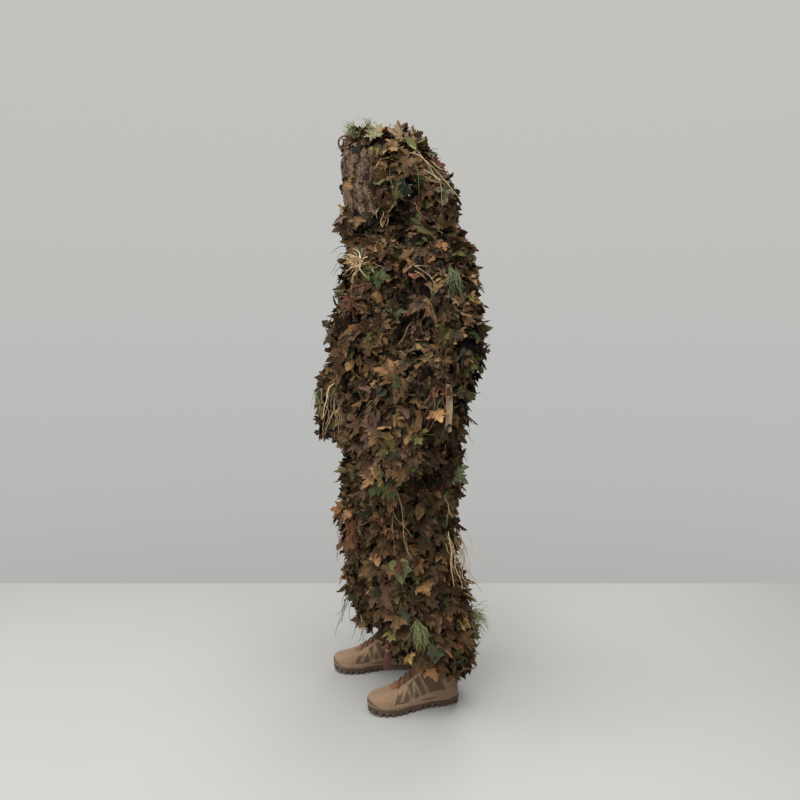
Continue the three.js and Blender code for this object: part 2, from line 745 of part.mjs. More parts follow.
addJacket();
addZip();
addSeat();
addHood();
addVeil();
for (const [name, leg] of Object.entries(LEGS)) {
  const anklePoint = addLeg(name, leg);
  addBoot(name, leg.side, anklePoint);
}
for (const [name, arm] of Object.entries(ARMS)) {
  addArm(name, arm);
}

addGarnish();

// the origin is on the ground, under the middle of the suit's box
const extent = new THREE.Box3().setFromObject(suit, true);
suit.position.y = -(extent.min.y + extent.max.y) / 2;

export default suit;
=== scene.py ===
"""A ghillie suit in its worn shape: cloth, leaves, raffia, moss, a bark veil and boots.

Metres, in the CAD's frame: +Z up, the wearer's front toward -Y and their left toward +X.
"""

import json
import math

import bpy
import numpy as np
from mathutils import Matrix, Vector, noise

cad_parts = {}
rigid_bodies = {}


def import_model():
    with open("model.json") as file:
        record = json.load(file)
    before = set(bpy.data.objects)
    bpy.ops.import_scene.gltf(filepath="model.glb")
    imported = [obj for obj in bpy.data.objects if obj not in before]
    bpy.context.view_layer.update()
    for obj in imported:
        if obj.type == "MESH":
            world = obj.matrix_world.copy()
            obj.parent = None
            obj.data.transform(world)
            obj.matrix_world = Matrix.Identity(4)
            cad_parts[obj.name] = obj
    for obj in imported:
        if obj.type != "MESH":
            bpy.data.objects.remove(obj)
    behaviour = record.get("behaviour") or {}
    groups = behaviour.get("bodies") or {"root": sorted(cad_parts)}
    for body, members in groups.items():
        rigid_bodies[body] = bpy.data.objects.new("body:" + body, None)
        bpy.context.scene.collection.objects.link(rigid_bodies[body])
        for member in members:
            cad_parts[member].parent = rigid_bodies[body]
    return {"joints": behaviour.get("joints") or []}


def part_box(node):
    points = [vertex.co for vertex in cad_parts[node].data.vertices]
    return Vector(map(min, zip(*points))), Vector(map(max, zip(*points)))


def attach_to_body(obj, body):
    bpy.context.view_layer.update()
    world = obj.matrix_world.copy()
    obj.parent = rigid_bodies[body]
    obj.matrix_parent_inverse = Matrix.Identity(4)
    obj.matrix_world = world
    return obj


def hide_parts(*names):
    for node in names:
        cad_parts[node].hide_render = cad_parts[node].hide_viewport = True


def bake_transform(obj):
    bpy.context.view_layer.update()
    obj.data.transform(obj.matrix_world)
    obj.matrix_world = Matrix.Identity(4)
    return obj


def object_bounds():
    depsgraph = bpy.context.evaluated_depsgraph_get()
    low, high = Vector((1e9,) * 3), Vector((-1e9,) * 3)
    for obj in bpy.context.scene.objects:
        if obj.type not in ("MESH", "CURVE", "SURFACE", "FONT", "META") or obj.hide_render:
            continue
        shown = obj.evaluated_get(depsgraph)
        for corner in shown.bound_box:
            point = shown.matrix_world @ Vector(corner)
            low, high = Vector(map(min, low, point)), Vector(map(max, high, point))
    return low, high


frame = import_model()
CAD_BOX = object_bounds()

SIDES = {"left": 1, "right": -1}
JOINTS = {joint["name"]: joint for joint in frame["joints"]}
UP = np.array([0.0, 0.0, 1.0])


def joint_point(name):
    return np.array(JOINTS[name]["pos_m"], float)


def hinge_line(name):
    """The joint's axis, turned so that it points toward +X."""
    axis = np.array(JOINTS[name]["axis"], float)
    return axis * np.sign(axis[0])


def node_box(name):
    """A CAD node's lowest and highest corners."""
    return np.array(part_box(name), float)


# ---- driving dimensions -----------------------------------------------------------------

MID_Y = joint_point("left_hip")[1]  # y of the wearer's middle plane in this frame
LEAF_DEPTH = 0.022  # how deep the layer of leaves is above the cloth
COLLAR_Z = 1.53
LEG_GAP = 0.012  # half the bare gap between the legs
INSTEP_Z, INSTEP_SLOPE = 0.122, 0.62  # a leg's hem behind the ankle, and its rise toward the front
JACKET_HEM_Z = 0.86
SKIRT_TOP_Z = 0.95
BROW_Z = 1.78  # underside of the hood's brim
FACE_Y = MID_Y - 0.028  # front edge of the hood's sides
HOLLOW = np.array([0.115, -0.012, 1.632])  # a gap among the leaves beside the veil
HOLLOW_RADIUS = 0.036
ZIP_STRIP = 0.020  # half width of the bare strip that the zip runs in
# how far garnish may stand outside the CAD's box, in x, y and z
GROWTH_LOW = np.array([0.030, 0.020, 0.0])
GROWTH_HIGH = np.array([0.030, 0.020, 0.004])

# outer face of the leaf cover, as z, front y, rear y and half width
BODY_RINGS = [
    (0.840, -0.180, 0.168, 0.226),
    (0.880, -0.183, 0.172, 0.228),
    (1.060, -0.188, 0.176, 0.200),
    (1.180, -0.238, 0.184, 0.176),
    (1.260, -0.224, 0.190, 0.166),
    (1.340, -0.192, 0.188, 0.158),
    (1.420, -0.182, 0.178, 0.144),
    (1.486, -0.170, 0.138, 0.112),
    (1.530, -0.160, 0.112, 0.092),
]
HOOD_RINGS = [
    (1.460, -0.080, 0.148, 0.112),
    (1.560, -0.170, 0.174, 0.128),
    (1.640, -0.208, 0.152, 0.134),
    (1.720, -0.208, 0.112, 0.130),
    (1.762, -0.196, 0.078, 0.114),
    (1.794, -0.150, 0.042, 0.086),
    (1.814, -0.106, 0.008, 0.048),
    (1.822, -0.066, -0.040, 0.014),
]
# half widths of the leaf cover across and along a limb, at shares of its two halves
UPPER_ARM = [(0.0, 0.082, 0.104), (0.5, 0.084, 0.094), (1.0, 0.086, 0.090)]
FOREARM = [(0.0, 0.086, 0.096), (0.35, 0.086, 0.126), (0.7, 0.084, 0.124), (1.0, 0.080, 0.088)]
THIGH = [(0.0, 0.105, 0.152), (0.3, 0.106, 0.158), (0.7, 0.107, 0.146), (1.0, 0.106, 0.140)]
SHIN = [(0.0, 0.106, 0.140), (0.3, 0.106, 0.142), (0.7, 0.105, 0.134), (1.0, 0.098, 0.112)]

# ---- camera, floor and light ------------------------------------------------------------

AZIMUTH = math.radians(77)
CAMERA = {"distance": 2.356, "height": 1.206, "tilt": math.radians(5.54), "lens": 32.4}
FLOOR_BEHIND = 0.99
FLOOR_REACH = 14.0
WALL_LIGHT = 0.22  # share of the walls' brightness that falls on the suit
# height in the view, with the horizon at 0.5, and the walls' colour there
WALL_COLOURS = [
    (0.10, (172, 172, 171)), (0.28, (184, 184, 182)), (0.5, (189, 189, 187)), (0.9, (196, 195, 190)),
]
# name, place, size, power and colour
LIGHTS = [
    ("overhead", (0.9, -0.5, 4.4), 5.0, 300, (1.0, 0.985, 0.95)),
    ("rear", (-3.6, 2.6, 3.0), 3.0, 60, (1.0, 0.99, 0.96)),
    ("window", (3.4, -2.4, 2.4), 2.2, 50, (0.97, 0.99, 1.0)),
    ("front", (-0.9, -3.8, 2.2), 2.6, 46, (1.0, 0.99, 0.97)),
]


def srgb(red, green, blue):
    """A colour given in 0 to 255, as linear light."""
    value = np.array([red, green, blue], float) / 255
    linear = np.where(value <= 0.04045, value / 12.92, ((value + 0.055) / 1.055) ** 2.4)
    return (*linear.tolist(), 1.0)


def put(name, data):
    obj = bpy.data.objects.new(name, data)
    bpy.context.scene.collection.objects.link(obj)
    return obj


def add_camera():
    data = bpy.data.cameras.new("camera")
    data.lens = CAMERA["lens"]
    data.sensor_width = 36
    camera = put("camera", data)
    away = CAMERA["distance"]
    camera.location = (away * math.sin(AZIMUTH), -away * math.cos(AZIMUTH), CAMERA["height"])
    camera.rotation_euler = (math.pi / 2 - CAMERA["tilt"], 0, AZIMUTH)
    bpy.context.scene.camera = camera


def add_light(name, place, size, power, colour):
    data = bpy.data.lights.new(name, "AREA")
    data.shape = "DISK"
    data.size = size
    data.energy = power
    data.color = colour
    light = put(name, data)
    light.location = place
    aim = Vector((0, 0, 0.9)) - light.location
    light.rotation_euler = aim.to_track_quat("-Z", "Y").to_euler()
    light.visible_camera = False


def add_node(tree, kind, inputs=None, **settings):
    """A shader node. Each input is a value, or the socket that it is linked to."""
    node = tree.nodes.new("ShaderNode" + kind)
    for key, value in settings.items():
        setattr(node, key, value)
    for key, value in (inputs or {}).items():
        if isinstance(value, bpy.types.NodeSocket):
            tree.links.new(value, node.inputs[key])
        else:
            node.inputs[key].default_value = value
    return node


def add_world():
    """Pale walls, which are seen at full brightness but light the suit only a little."""
    world = bpy.data.worlds.new("studio")
    bpy.context.scene.world = world
    world.use_nodes = True
    tree = world.node_tree
    direction = add_node(tree, "TexCoord").outputs["Generated"]
    rise = add_node(tree, "SeparateXYZ", {0: direction}).outputs["Z"]
    height = add_node(tree, "Math", {0: rise, 1: 1.0, 2: 0.5}, operation="MULTIPLY_ADD").outputs[0]
    ramp = add_node(tree, "ValToRGB", {0: height})
    stops = ramp.color_ramp.elements
    while len(stops) < len(WALL_COLOURS):
        stops.new(0.5)
    for stop, (place, colour) in zip(stops, WALL_COLOURS):
        stop.position = place
        stop.color = srgb(*colour)
    seen = add_node(tree, "LightPath").outputs["Is Camera Ray"]
    strength = add_node(tree, "MapRange", {"Value": seen, "To Min": WALL_LIGHT}).outputs[0]
    background = tree.nodes["Background"]
    tree.links.new(ramp.outputs[0], background.inputs["Color"])
    tree.links.new(strength, background.inputs["Strength"])


def add_floor():
    corners = [(-FLOOR_REACH, FLOOR_BEHIND), (FLOOR_REACH, FLOOR_BEHIND),
               (FLOOR_REACH, -FLOOR_REACH), (-FLOOR_REACH, -FLOOR_REACH)]
    points = [(x, y, 0.0) for x, y in corners]
    floor = build("floor", points, [(0, 3, 2, 1)], floor_paint(), smooth=False)
    floor.rotation_euler.z = AZIMUTH


# ---- materials --------------------------------------------------------------------------


class Paint:
    """A material whose nodes are added one at a time."""

    def __init__(self, name, roughness=0.85, **sockets):
        self.material = bpy.data.materials.new(name)
        self.material.use_nodes = True
        self.tree = self.material.node_tree
        self.surface = self.tree.nodes["Principled BSDF"]
        self.surface.inputs["Roughness"].default_value = roughness
        for socket, value in sockets.items():
            self.surface.inputs[socket.replace("_", " ")].default_value = value

    def node(self, kind, inputs=None, **settings):
        return add_node(self.tree, kind, inputs, **settings)

    def math(self, operation, first, second=0.0, third=0.0):
        inputs = {0: first, 1: second, 2: third}
        return self.node("Math", inputs, operation=operation).outputs[0]

    def uv(self):
        return self.node("UVMap").outputs[0]

    def place(self):
        return self.node("TexCoord").outputs["Object"]

    def attribute(self, name, output="Color"):
        return self.node("Attribute", attribute_name=name).outputs[output]

    def noise(self, vector, scale, detail=4.0, roughness=0.55):
        inputs = {"Vector": vector, "Scale": scale, "Detail": detail, "Roughness": roughness}
        return self.node("TexNoise", inputs).outputs[0]

    def wave(self, vector, scale, direction, distortion=0.0):
        inputs = {"Vector": vector, "Scale": scale, "Distortion": distortion}
        return self.node("TexWave", inputs, bands_direction=direction).outputs["Fac"]

    def stretch(self, vector, scale):
        return self.node("Mapping", {"Vector": vector, "Scale": scale}).outputs[0]

    def between(self, value, low, high):
        """0 below low, 1 above high, smooth between them."""
        inputs = {"Value": value, "From Min": low, "From Max": high}
        return self.node("MapRange", inputs, interpolation_type="SMOOTHSTEP").outputs[0]

    def mix(self, share, first, second, blend="MIX"):
        inputs = {0: share, 6: first, 7: second}
        return self.node("Mix", inputs, data_type="RGBA", blend_type=blend).outputs[2]

    def scaled(self, colour, red, green, blue):
        return self.mix(1.0, colour, (red, green, blue, 1), "MULTIPLY")

    def darken(self, colour, share, factor):
        return self.mix(share, colour, self.scaled(colour, factor, factor, factor))

    def finish(self, colour, height=None, strength=0.5, depth=0.002, roughness=None):
        links = self.tree.links
        links.new(colour, self.surface.inputs["Base Color"])
        if roughness is not None:
            links.new(roughness, self.surface.inputs["Roughness"])
        if height is not None:
            bump = self.node("Bump", {"Strength": strength, "Distance": depth, "Height": height})
            links.new(bump.outputs[0], self.surface.inputs["Normal"])
        return self.material


def leaf_paint():
    paint = Paint("leaf", 0.78, Sheen_Weight=0.03, Specular_IOR_Level=0.2)
    tint = paint.attribute("tint")
    vein = paint.attribute("line", "Fac")
    # each leaf's own colour moves its mottling, so no two leaves are alike
    moved = paint.node("VectorMath", {0: tint, 1: (41.0, 67.0, 53.0)}, operation="MULTIPLY_ADD")
    paint.tree.links.new(paint.uv(), moved.inputs[2])
    blotch = paint.noise(moved.outputs[0], 3.2, 5.0, 0.65)
    grain = paint.noise(moved.outputs[0], 34.0, 2.0)
    colour = paint.darken(tint, paint.between(blotch, 0.42, 0.66), 0.55)
    dry = paint.scaled(colour, 1.24, 1.14, 0.95)
    colour = paint.mix(paint.between(blotch, 0.52, 0.30), colour, dry)
    line = paint.between(vein, 0.90, 0.985)
    pale = paint.scaled(colour, 1.5, 1.42, 1.3)
    colour = paint.mix(paint.math("MULTIPLY", line, 0.65), colour, pale)
    height = paint.math("MULTIPLY_ADD", line, 0.8, grain)
    return paint.finish(colour, height, 0.45, 0.0015)


def cloth_paint():
    paint = Paint("olive_cloth", 0.95, Sheen_Weight=0.04, Specular_IOR_Level=0.2)
    uv = paint.uv()
    weave = paint.math("MAXIMUM", *(paint.wave(uv, 160.0, way, 0.6) for way in "XY"))
    fade = paint.noise(uv, 9.0, 5.0)
    # partly the cloth's own dark olive, partly painted shade: made nearly black so the gaps between the
    # leaves look shadowed
    colour = paint.mix(fade, srgb(22, 20, 14), srgb(34, 30, 21))
    colour = paint.darken(colour, paint.between(weave, 0.7, 0.2), 0.6)
    return paint.finish(colour, weave, 0.5, 0.0008)


def fibre_paint(name, roughness=0.7):
    """Raffia, jute, grass or string: long pale and dark streaks along each strand."""
    paint = Paint(name, roughness, Sheen_Weight=0.1)
    tint = paint.attribute("tint")
    streaks = paint.noise(paint.stretch(paint.uv(), (90.0, 4.0, 1.0)), 1.0, 3.0)
    patches = paint.noise(paint.uv(), 5.0, 3.0)
    colour = paint.darken(tint, paint.between(streaks, 0.40, 0.66), 0.62)
    colour = paint.darken(colour, paint.between(patches, 0.55, 0.75), 0.7)
    return paint.finish(colour, streaks, 0.5, 0.0006)


def bark_paint():
    paint = Paint("bark", 0.95)
    uv = paint.uv()
    long_grain = paint.noise(paint.stretch(uv, (60.0, 14.0, 1.0)), 1.0, 8.0, 0.7)
    plates = paint.node("TexVoronoi", {"Vector": paint.stretch(uv, (30.0, 11.0, 1.0))},
                        feature="DISTANCE_TO_EDGE").outputs["Distance"]
    mottling = paint.noise(uv, 22.0, 6.0, 0.7)
    colour = paint.mix(paint.between(mottling, 0.35, 0.65), srgb(84, 64, 48), srgb(146, 120, 94))
    colour = paint.mix(paint.between(long_grain, 0.52, 0.7), colour, srgb(168, 143, 113))
    colour = paint.darken(colour, paint.between(plates, 0.10, 0.0), 0.35)
    height = paint.math("ADD", long_grain, paint.between(plates, 0.0, 0.16))
    return paint.finish(colour, height, 0.9, 0.004)


def wood_paint():
    paint = Paint("wood_strip", 0.8)
    grain = paint.noise(paint.stretch(paint.uv(), (420.0, 9.0, 1.0)), 1.0, 4.0)
    stain = paint.noise(paint.uv(), 26.0, 4.0)
    colour = paint.mix(paint.between(grain, 0.4, 0.65), srgb(190, 170, 142), srgb(150, 128, 102))
    colour = paint.darken(colour, paint.between(stain, 0.52, 0.72), 0.65)
    return paint.finish(colour, grain, 0.5, 0.0005)


def suede_paint(name, roughness):
    """Brushed leather or mesh cloth with worn patches, and stitches where a line is marked."""
    paint = Paint(name, roughness, Sheen_Weight=0.3)
    uv = paint.uv()
    tint = paint.attribute("tint")
    nap = paint.noise(uv, 240.0, 4.0)
    wear = paint.noise(uv, 17.0, 5.0, 0.65)
    colour = paint.darken(tint, paint.between(wear, 0.50, 0.72), 0.72)
    pale = paint.scaled(colour, 1.22, 1.20, 1.16)
    colour = paint.mix(paint.between(wear, 0.46, 0.30), colour, pale)
    colour = paint.darken(colour, paint.between(nap, 0.35, 0.60), 0.86)
    dashes = paint.wave(uv, 52.0, "X")
    stitch = paint.math("MULTIPLY", paint.between(paint.attribute("line", "Fac"), 0.4, 0.8),
                        paint.between(dashes, 0.35, 0.55))
    colour = paint.mix(stitch, colour, srgb(196, 172, 140))
    height = paint.math("MULTIPLY_ADD", stitch, 0.7, nap)
    return paint.finish(colour, height, 0.35, 0.0006)


def rubber_paint(name, colour, scuffed):
    paint = Paint(name, 0.7)
    uv = paint.uv()
    dust = paint.noise(uv, 20.0, 6.0, 0.7)
    grain = paint.noise(uv, 300.0, 2.0)
    colour = paint.mix(paint.between(dust, 0.45, 0.72), srgb(*colour), srgb(*scuffed))
    return paint.finish(colour, grain, 0.25, 0.0004)


def metal_paint():
    paint = Paint("brass", 0.42, Metallic=1.0)
    place = paint.place()
    tarnish = paint.noise(place, 260.0, 5.0, 0.7)
    colour = paint.mix(paint.between(tarnish, 0.4, 0.65), srgb(150, 122, 70), srgb(86, 70, 46))
    rough = paint.node("MapRange", {"Value": tarnish, "To Min": 0.30, "To Max": 0.62}).outputs[0]
    return paint.finish(colour, tarnish, 0.2, 0.0003, rough)


def tape_paint():
    """The zip's woven tapes: ribs along them and threads across."""
    paint = Paint("zip_tape", 0.88, Sheen_Weight=0.2)
    place = paint.place()
    weave = paint.math("MULTIPLY", paint.wave(place, 210.0, "X"), paint.wave(place, 260.0, "Z"))
    colour = paint.mix(paint.noise(place, 30.0, 4.0), srgb(40, 37, 26), srgb(58, 52, 37))
    colour = paint.darken(colour, paint.between(weave, 0.35, 0.0), 0.6)
    return paint.finish(colour, weave, 0.4, 0.0005)


def floor_paint():
    paint = Paint("floor", 0.55)
    place = paint.place()
    cloud = paint.noise(place, 1.3, 5.0)
    speck = paint.noise(place, 60.0, 3.0)
    colour = paint.mix(cloud, (0.415, 0.415, 0.405, 1), (0.455, 0.455, 0.443, 1))
    return paint.finish(colour, speck, 0.08, 0.002)


# ---- meshes from arrays -----------------------------------------------------------------


def build(name, points, faces, material, uv=None, tint=None, line=None, smooth=True):
    """A mesh object. uv, tint and line, such as how near a vein is, hold one row for each point."""
    mesh = bpy.data.meshes.new(name)
    corners = faces.tolist() if isinstance(faces, np.ndarray) else faces
    mesh.from_pydata(np.asarray(points).tolist(), [], corners)
    if uv is not None:
        corners = np.empty(len(mesh.loops), int)
        mesh.loops.foreach_get("vertex_index", corners)
        layer = mesh.uv_layers.new(name="UVMap")
        layer.data.foreach_set("uv", np.asarray(uv, np.float32)[corners].ravel())
    if tint is not None:
        layer = mesh.attributes.new("tint", "FLOAT_COLOR", "POINT")
        layer.data.foreach_set("color", np.asarray(tint, np.float32).ravel())
    if line is not None:
        layer = mesh.attributes.new("line", "FLOAT", "POINT")
        layer.data.foreach_set("value", np.asarray(line, np.float32).ravel())
    mesh.materials.append(material)
    if smooth:
        mesh.polygons.foreach_set("use_smooth", [True] * len(mesh.polygons))
    mesh.update()
    return put(name, mesh)


def quad_faces(rows, columns, closed=True):
    """The faces of a grid of points, which closes on itself sideways unless closed is False."""
    row, column = np.meshgrid(np.arange(rows - 1), np.arange(columns - (not closed)), indexing="ij")
    following = (column + 1) % columns
    corners = (row * columns + column, (row + 1) * columns + column,
               (row + 1) * columns + following, row * columns + following)
    return np.stack(corners, -1).reshape(-1, 4)


def grid_uv(across, down):
    """UVs for a grid of points, from their values across and down."""
    return np.stack(np.meshgrid(across, down), -1).reshape(-1, 2)


def unit(vectors):
    return vectors / np.maximum(np.linalg.norm(vectors, axis=-1, keepdims=True), 1e-9)


def rounded(rows, passes):
    """Rows of numbers with their corners rounded by passes of a running mean."""
    for _ in range(passes):
        rows[:, 1:-1] = (rows[:, :-2] + 2 * rows[:, 1:-1] + rows[:, 2:]) / 4
    return rows


def smooth_rows(table, values, passes=2):
    """The table's other columns at values of its first, which rises, as rounded rows."""
    table = np.array(table)
    rows = [np.interp(values, table[:, 0], column) for column in table[:, 1:].T]
    return rounded(np.stack(rows), passes)


def copied_faces(faces, count, size):
    """One mesh's faces repeated for count meshes of size points each."""
    copies = faces[None] + (np.arange(count) * size)[:, None, None]
    return copies.reshape(-1, faces.shape[1])


def outward_normals(points, centres):
    """Normals of a surface made of rings of points, turned away from the rings' centres."""
    around = np.roll(points, -1, 1) - np.roll(points, 1, 1)
    normal = unit(np.cross(np.gradient(points, axis=0), around))
    flip = np.sign((normal * (points - centres)).sum(-1, keepdims=True))
    return normal * np.where(flip == 0, 1, flip)


class Skin:
    """A surface as rings of points, from its top ring down. Rings run from +X toward +Y."""

    def __init__(self, centres, across, back, half_across, half_back, power=2.0, around=72):
        angle = np.linspace(0, 2 * np.pi, around, endpoint=False)
        cos, sin = np.cos(angle), np.sin(angle)
        self.half_across, self.half_back = np.asarray(half_across), np.asarray(half_back)
        shape = np.stack([np.sign(w) * np.abs(w) ** (2 / power) for w in (cos, sin)])
        self.points = (
            centres[:, None, :]
            + (self.half_across[:, None] * shape[0])[:, :, None] * across[:, None, :]
            + (self.half_back[:, None] * shape[1])[:, :, None] * back[:, None, :]
        )
        self.centres = centres

    def ruffle(self, amount, scale, seed):
        """Moves the surface in and out by soft noise, for lumps and sagging folds."""
        outward = unit(self.points - self.centres[:, None, :])
        flat = self.points.reshape(-1, 3)
        shift = [noise.noise(Vector(p * scale) + Vector((seed, 0, 0))) for p in flat]
        shift = (amount * np.array(shift)).reshape(outward.shape[:2])
        self.points = self.points + outward * shift[..., None]
        return self

    def normals(self):
        return outward_normals(self.points, self.centres[:, None, :])

    def rows(self, first, last):
        """The same skin, cut to the rings from first up to last."""
        part = object.__new__(Skin)
        for name, values in vars(self).items():
            setattr(part, name, values[first:last])
        return part

    def scatter(self, density, rng):
        """Random places: points, outward normals and downhill directions."""
        points, normals = self.points, self.normals()
        wrapped = np.concatenate([points, points[:, :1]], 1)
        edge_u = wrapped[:-1, 1:] - wrapped[:-1, :-1]
        edge_v = wrapped[1:, :-1] - wrapped[:-1, :-1]
        area = np.linalg.norm(np.cross(edge_u, edge_v), axis=-1)
        count = int(area.sum() * density)
        cell = rng.choice(area.size, count, p=(area / area.sum()).ravel())
        row, column = np.unravel_index(cell, area.shape)
        across, along = rng.random((2, count, 1))
        place = points[row, column] + across * edge_u[row, column] + along * edge_v[row, column]
        return place, normals[row, column], unit(edge_v[row, column])


def level_skin(z, middle_y, half_across, half_back, **options):
    """A skin of level rings on the suit's middle plane."""
    centres = np.stack([0 * z, middle_y + 0 * z, z], 1)
    east = np.tile([1.0, 0, 0], (len(z), 1))
    north = np.tile([0, 1.0, 0], (len(z), 1))
    return Skin(centres, east, north, half_across, half_back, **options)


def ring_skin(table, top, bottom, power, step=0.014):
    """The cloth inside a leaf cover, from a table of the cover's z, front y, rear y and half width."""
    z = np.linspace(top, bottom, round((top - bottom) / step))
    front, rear, half = smooth_rows(table, z)
    inset = np.minimum(LEAF_DEPTH, 0.6 * half)
    half_back = (rear - front) / 2 - inset
    return level_skin(z, MID_Y + (front + rear) / 2, half - inset, half_back, power=power)


CUFF_DROOP = 0.065  # how far before the wrist a sleeve starts to hang straight down


def limb_skin(start, bend, end, hinge, upper, lower, cap, past, out, step=0.014):
    """A skin round a bent limb, and how far down the limb each of its rings is.

    cap rounds it off above its start, past takes it beyond its end, and out shifts it toward +X.
    """
    first, second = np.linalg.norm(bend - start), np.linalg.norm(end - bend)
    s = np.arange(-cap, first + second + past, step)
    down = np.stack([unit(bend - start), unit(end - bend)])
    turn = np.clip((s - first) / 0.10 + 0.5, 0, 1)[:, None]
    turn = turn * turn * (3 - 2 * turn)
    droop = np.clip((s - first - second + CUFF_DROOP) / 0.05, 0, 1)[:, None]
    heading = unit((down[0] * (1 - turn) + down[1] * turn) * (1 - droop) - UP * droop)
    path = np.cumsum(heading * step, 0)
    path += start - path[np.argmin(np.abs(s))]
    across = np.tile(hinge, (len(s), 1))
    back = unit(np.cross(-heading, across))
    table = [(share * first, a, b) for share, a, b in upper[:-1]]
    table += [(first + share * second, a, b) for share, a, b in lower]
    half_across, half_back = smooth_rows(table, s)
    if cap:
        dome = np.sqrt(np.clip(1 - (np.minimum(s, 0) / (cap + 0.004)) ** 2, 0.02, 1))
        half_across, half_back = half_across * dome, half_back * dome
    inset = np.minimum(LEAF_DEPTH, 0.5 * half_across)
    path = path + across * out
    return Skin(path, across, back, half_across - inset, half_back - inset), s


# ---- where pieces ride ------------------------------------------------------------------

SLEEVE_CAP, SLEEVE_PAST_CUFF = 0.084, 0.100  # how far a sleeve goes on at its two ends
LEG_RISE, LEG_SHORT = 0.040, 0.022  # how far a leg starts above the hip and ends above the ankle
LEG_OUT = 0.010  # how far a leg stands out from its joints
LIMB_SPLIT = 0.5  # share of the upper arm, or thigh, at which its two pieces meet


def attach(obj, zone):
    """Makes a torso, hood or veil piece follow its body; any other piece only has its transform baked
    in.
    """
    if zone in ("torso", "hood", "veil"):
        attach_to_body(obj, zone)
        return
    side, part = zone.split("_", 1)
    if part == "skirt":
        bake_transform(obj)
        return
    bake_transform(obj)


def sew_on(obj, zone, slot_name, *nodes):
    """Hides the CAD nodes that a piece stands for and hands it to attach by its zone; slot_name is not
    used.
    """
    if nodes:
        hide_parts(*nodes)
    attach(obj, zone)


# ---- leaves -----------------------------------------------------------------------------

# right half of each outline from stem to tip, with 1 where a vein ends, and its hub's y
LEAF_SHAPES = {
    "maple": (0.25, [
        (0.00, 0.10, 1), (0.10, 0.02, 0), (0.20, -0.08, 0), (0.36, -0.02, 1), (0.25, 0.13, 0),
        (0.48, 0.12, 0), (0.36, 0.23, 0), (0.62, 0.34, 0), (0.66, 0.60, 1), (0.38, 0.46, 0),
        (0.38, 0.60, 0), (0.17, 0.46, 0), (0.32, 0.74, 0), (0.16, 0.70, 0), (0.13, 0.88, 0),
        (0.00, 1.06, 1),
    ]),
    "plane": (0.28, [
        (0.00, 0.06, 1), (0.20, 0.00, 0), (0.42, 0.04, 1), (0.26, 0.18, 0), (0.54, 0.30, 0),
        (0.62, 0.62, 1), (0.32, 0.50, 0), (0.16, 0.52, 0), (0.26, 0.80, 0), (0.10, 0.80, 0),
        (0.00, 1.04, 1),
    ]),
    "ivy": (0.30, [
        (0.00, 0.10, 1), (0.18, -0.02, 0), (0.40, 0.10, 1), (0.38, 0.30, 0), (0.52, 0.50, 1),
        (0.28, 0.58, 0), (0.16, 0.80, 0), (0.00, 1.00, 1),
    ]),
    "oval": (0.45, [
        (0.00, 0.00, 1), (0.15, 0.14, 0), (0.25, 0.38, 0), (0.23, 0.62, 0), (0.12, 0.86, 0),
        (0.00, 1.00, 1),
    ]),
    "scrap": (0.50, [
        (0.00, 0.00, 0), (0.20, 0.05, 0), (0.13, 0.42, 0), (0.22, 0.78, 0), (0.10, 0.90, 0),
        (0.00, 1.00, 0),
    ]),
}
LEAF_MIX = {"maple": 0.50, "plane": 0.26, "ivy": 0.08, "oval": 0.08, "scrap": 0.08}

LEAF_COLOURS = [
    (0.36, (106, 81, 53)),
    (0.23, (76, 57, 38)),
    (0.14, (140, 108, 72)),
    (0.11, (98, 75, 60)),
    (0.02, (112, 74, 52)),
    (0.08, (92, 88, 50)),
    (0.04, (58, 60, 37)),
    (0.010, (98, 108, 60)),
    (0.010, (86, 92, 70)),
]
# nearly black colours of the leaves close to the cloth: painted shade for the gaps between the leaves
UNDER_SHADE_COLOURS = [
    (0.5, (32, 26, 18)),
    (0.3, (22, 18, 13)),
    (0.2, (27, 29, 18)),
]
# mean and spread of the natural logarithm of a leaf's brightness, and spread of its hue
SHADE_MEAN, SHADE_SPREAD, HUE_SPREAD = -0.19, 0.35, 0.04


def leaf_template(shape):
    """Points (x, y), how far each is up its veins, and the fan of faces round the hub."""
    hub, half = LEAF_SHAPES[shape]
    left = [(-x, y, vein) for x, y, vein in half[-2:0:-1]]
    rim = half + left
    table = np.array([(0.0, hub, 1.0)] + rim)
    count = len(rim)
    faces = [(0, 1 + k, 1 + (k + 1) % count) for k in range(count)]
    return table[:, :2], table[:, 2], np.array(faces)


def within_limits(points):
    """True for each leaf or strand that keeps inside the box the suit may fill."""
    low = np.array(CAD_BOX[0]) - GROWTH_LOW
    high = np.array(CAD_BOX[1]) + GROWTH_HIGH
    return ((points > low) & (points < high)).all(axis=(1, 2))


def make_leaves(shape, place, normal, heading, size, tint, rng, lift=(5, 50), flatness=1.0):
    """Leaf meshes as arrays. heading is the way that each leaf's tip points on its surface."""
    flat, vein, faces = leaf_template(shape)
    count = len(place)
    side = unit(np.cross(heading, normal))
    raised = np.radians(rng.uniform(*lift, (count, 1)))
    rolled = np.radians(rng.normal(0, 22, (count, 1)))
    tip = heading * np.cos(raised) + normal * np.sin(raised)
    face = normal * np.cos(raised) - heading * np.sin(raised)
    wide = side * np.cos(rolled) + face * np.sin(rolled)
    face = np.cross(wide, tip)
    x, y = flat[:, 0], flat[:, 1]
    bend = rng.uniform(-0.45, 0.25, (count, 1)) * flatness
    cup = rng.uniform(-0.9, 0.6, (count, 1)) * flatness
    wave = rng.normal(0, 0.035, (count, len(x))) * flatness
    height = bend * y * y + cup * x * x + wave
    size = size[:, None, None]
    points = place[:, None, :] + size * (
        x[:, None] * wide[:, None, :] + y[:, None] * tip[:, None, :]
        + height[..., None] * face[:, None, :]
    )
    keep = within_limits(points)
    points, tint = points[keep], tint[keep]
    count = len(points)
    return {
        "points": points.reshape(-1, 3),
        "faces": copied_faces(faces, count, len(x)),
        "uv": np.tile(flat, (count, 1)),
        "tint": np.repeat(tint, len(x), 0),
        "line": np.tile(vein, count),
    }


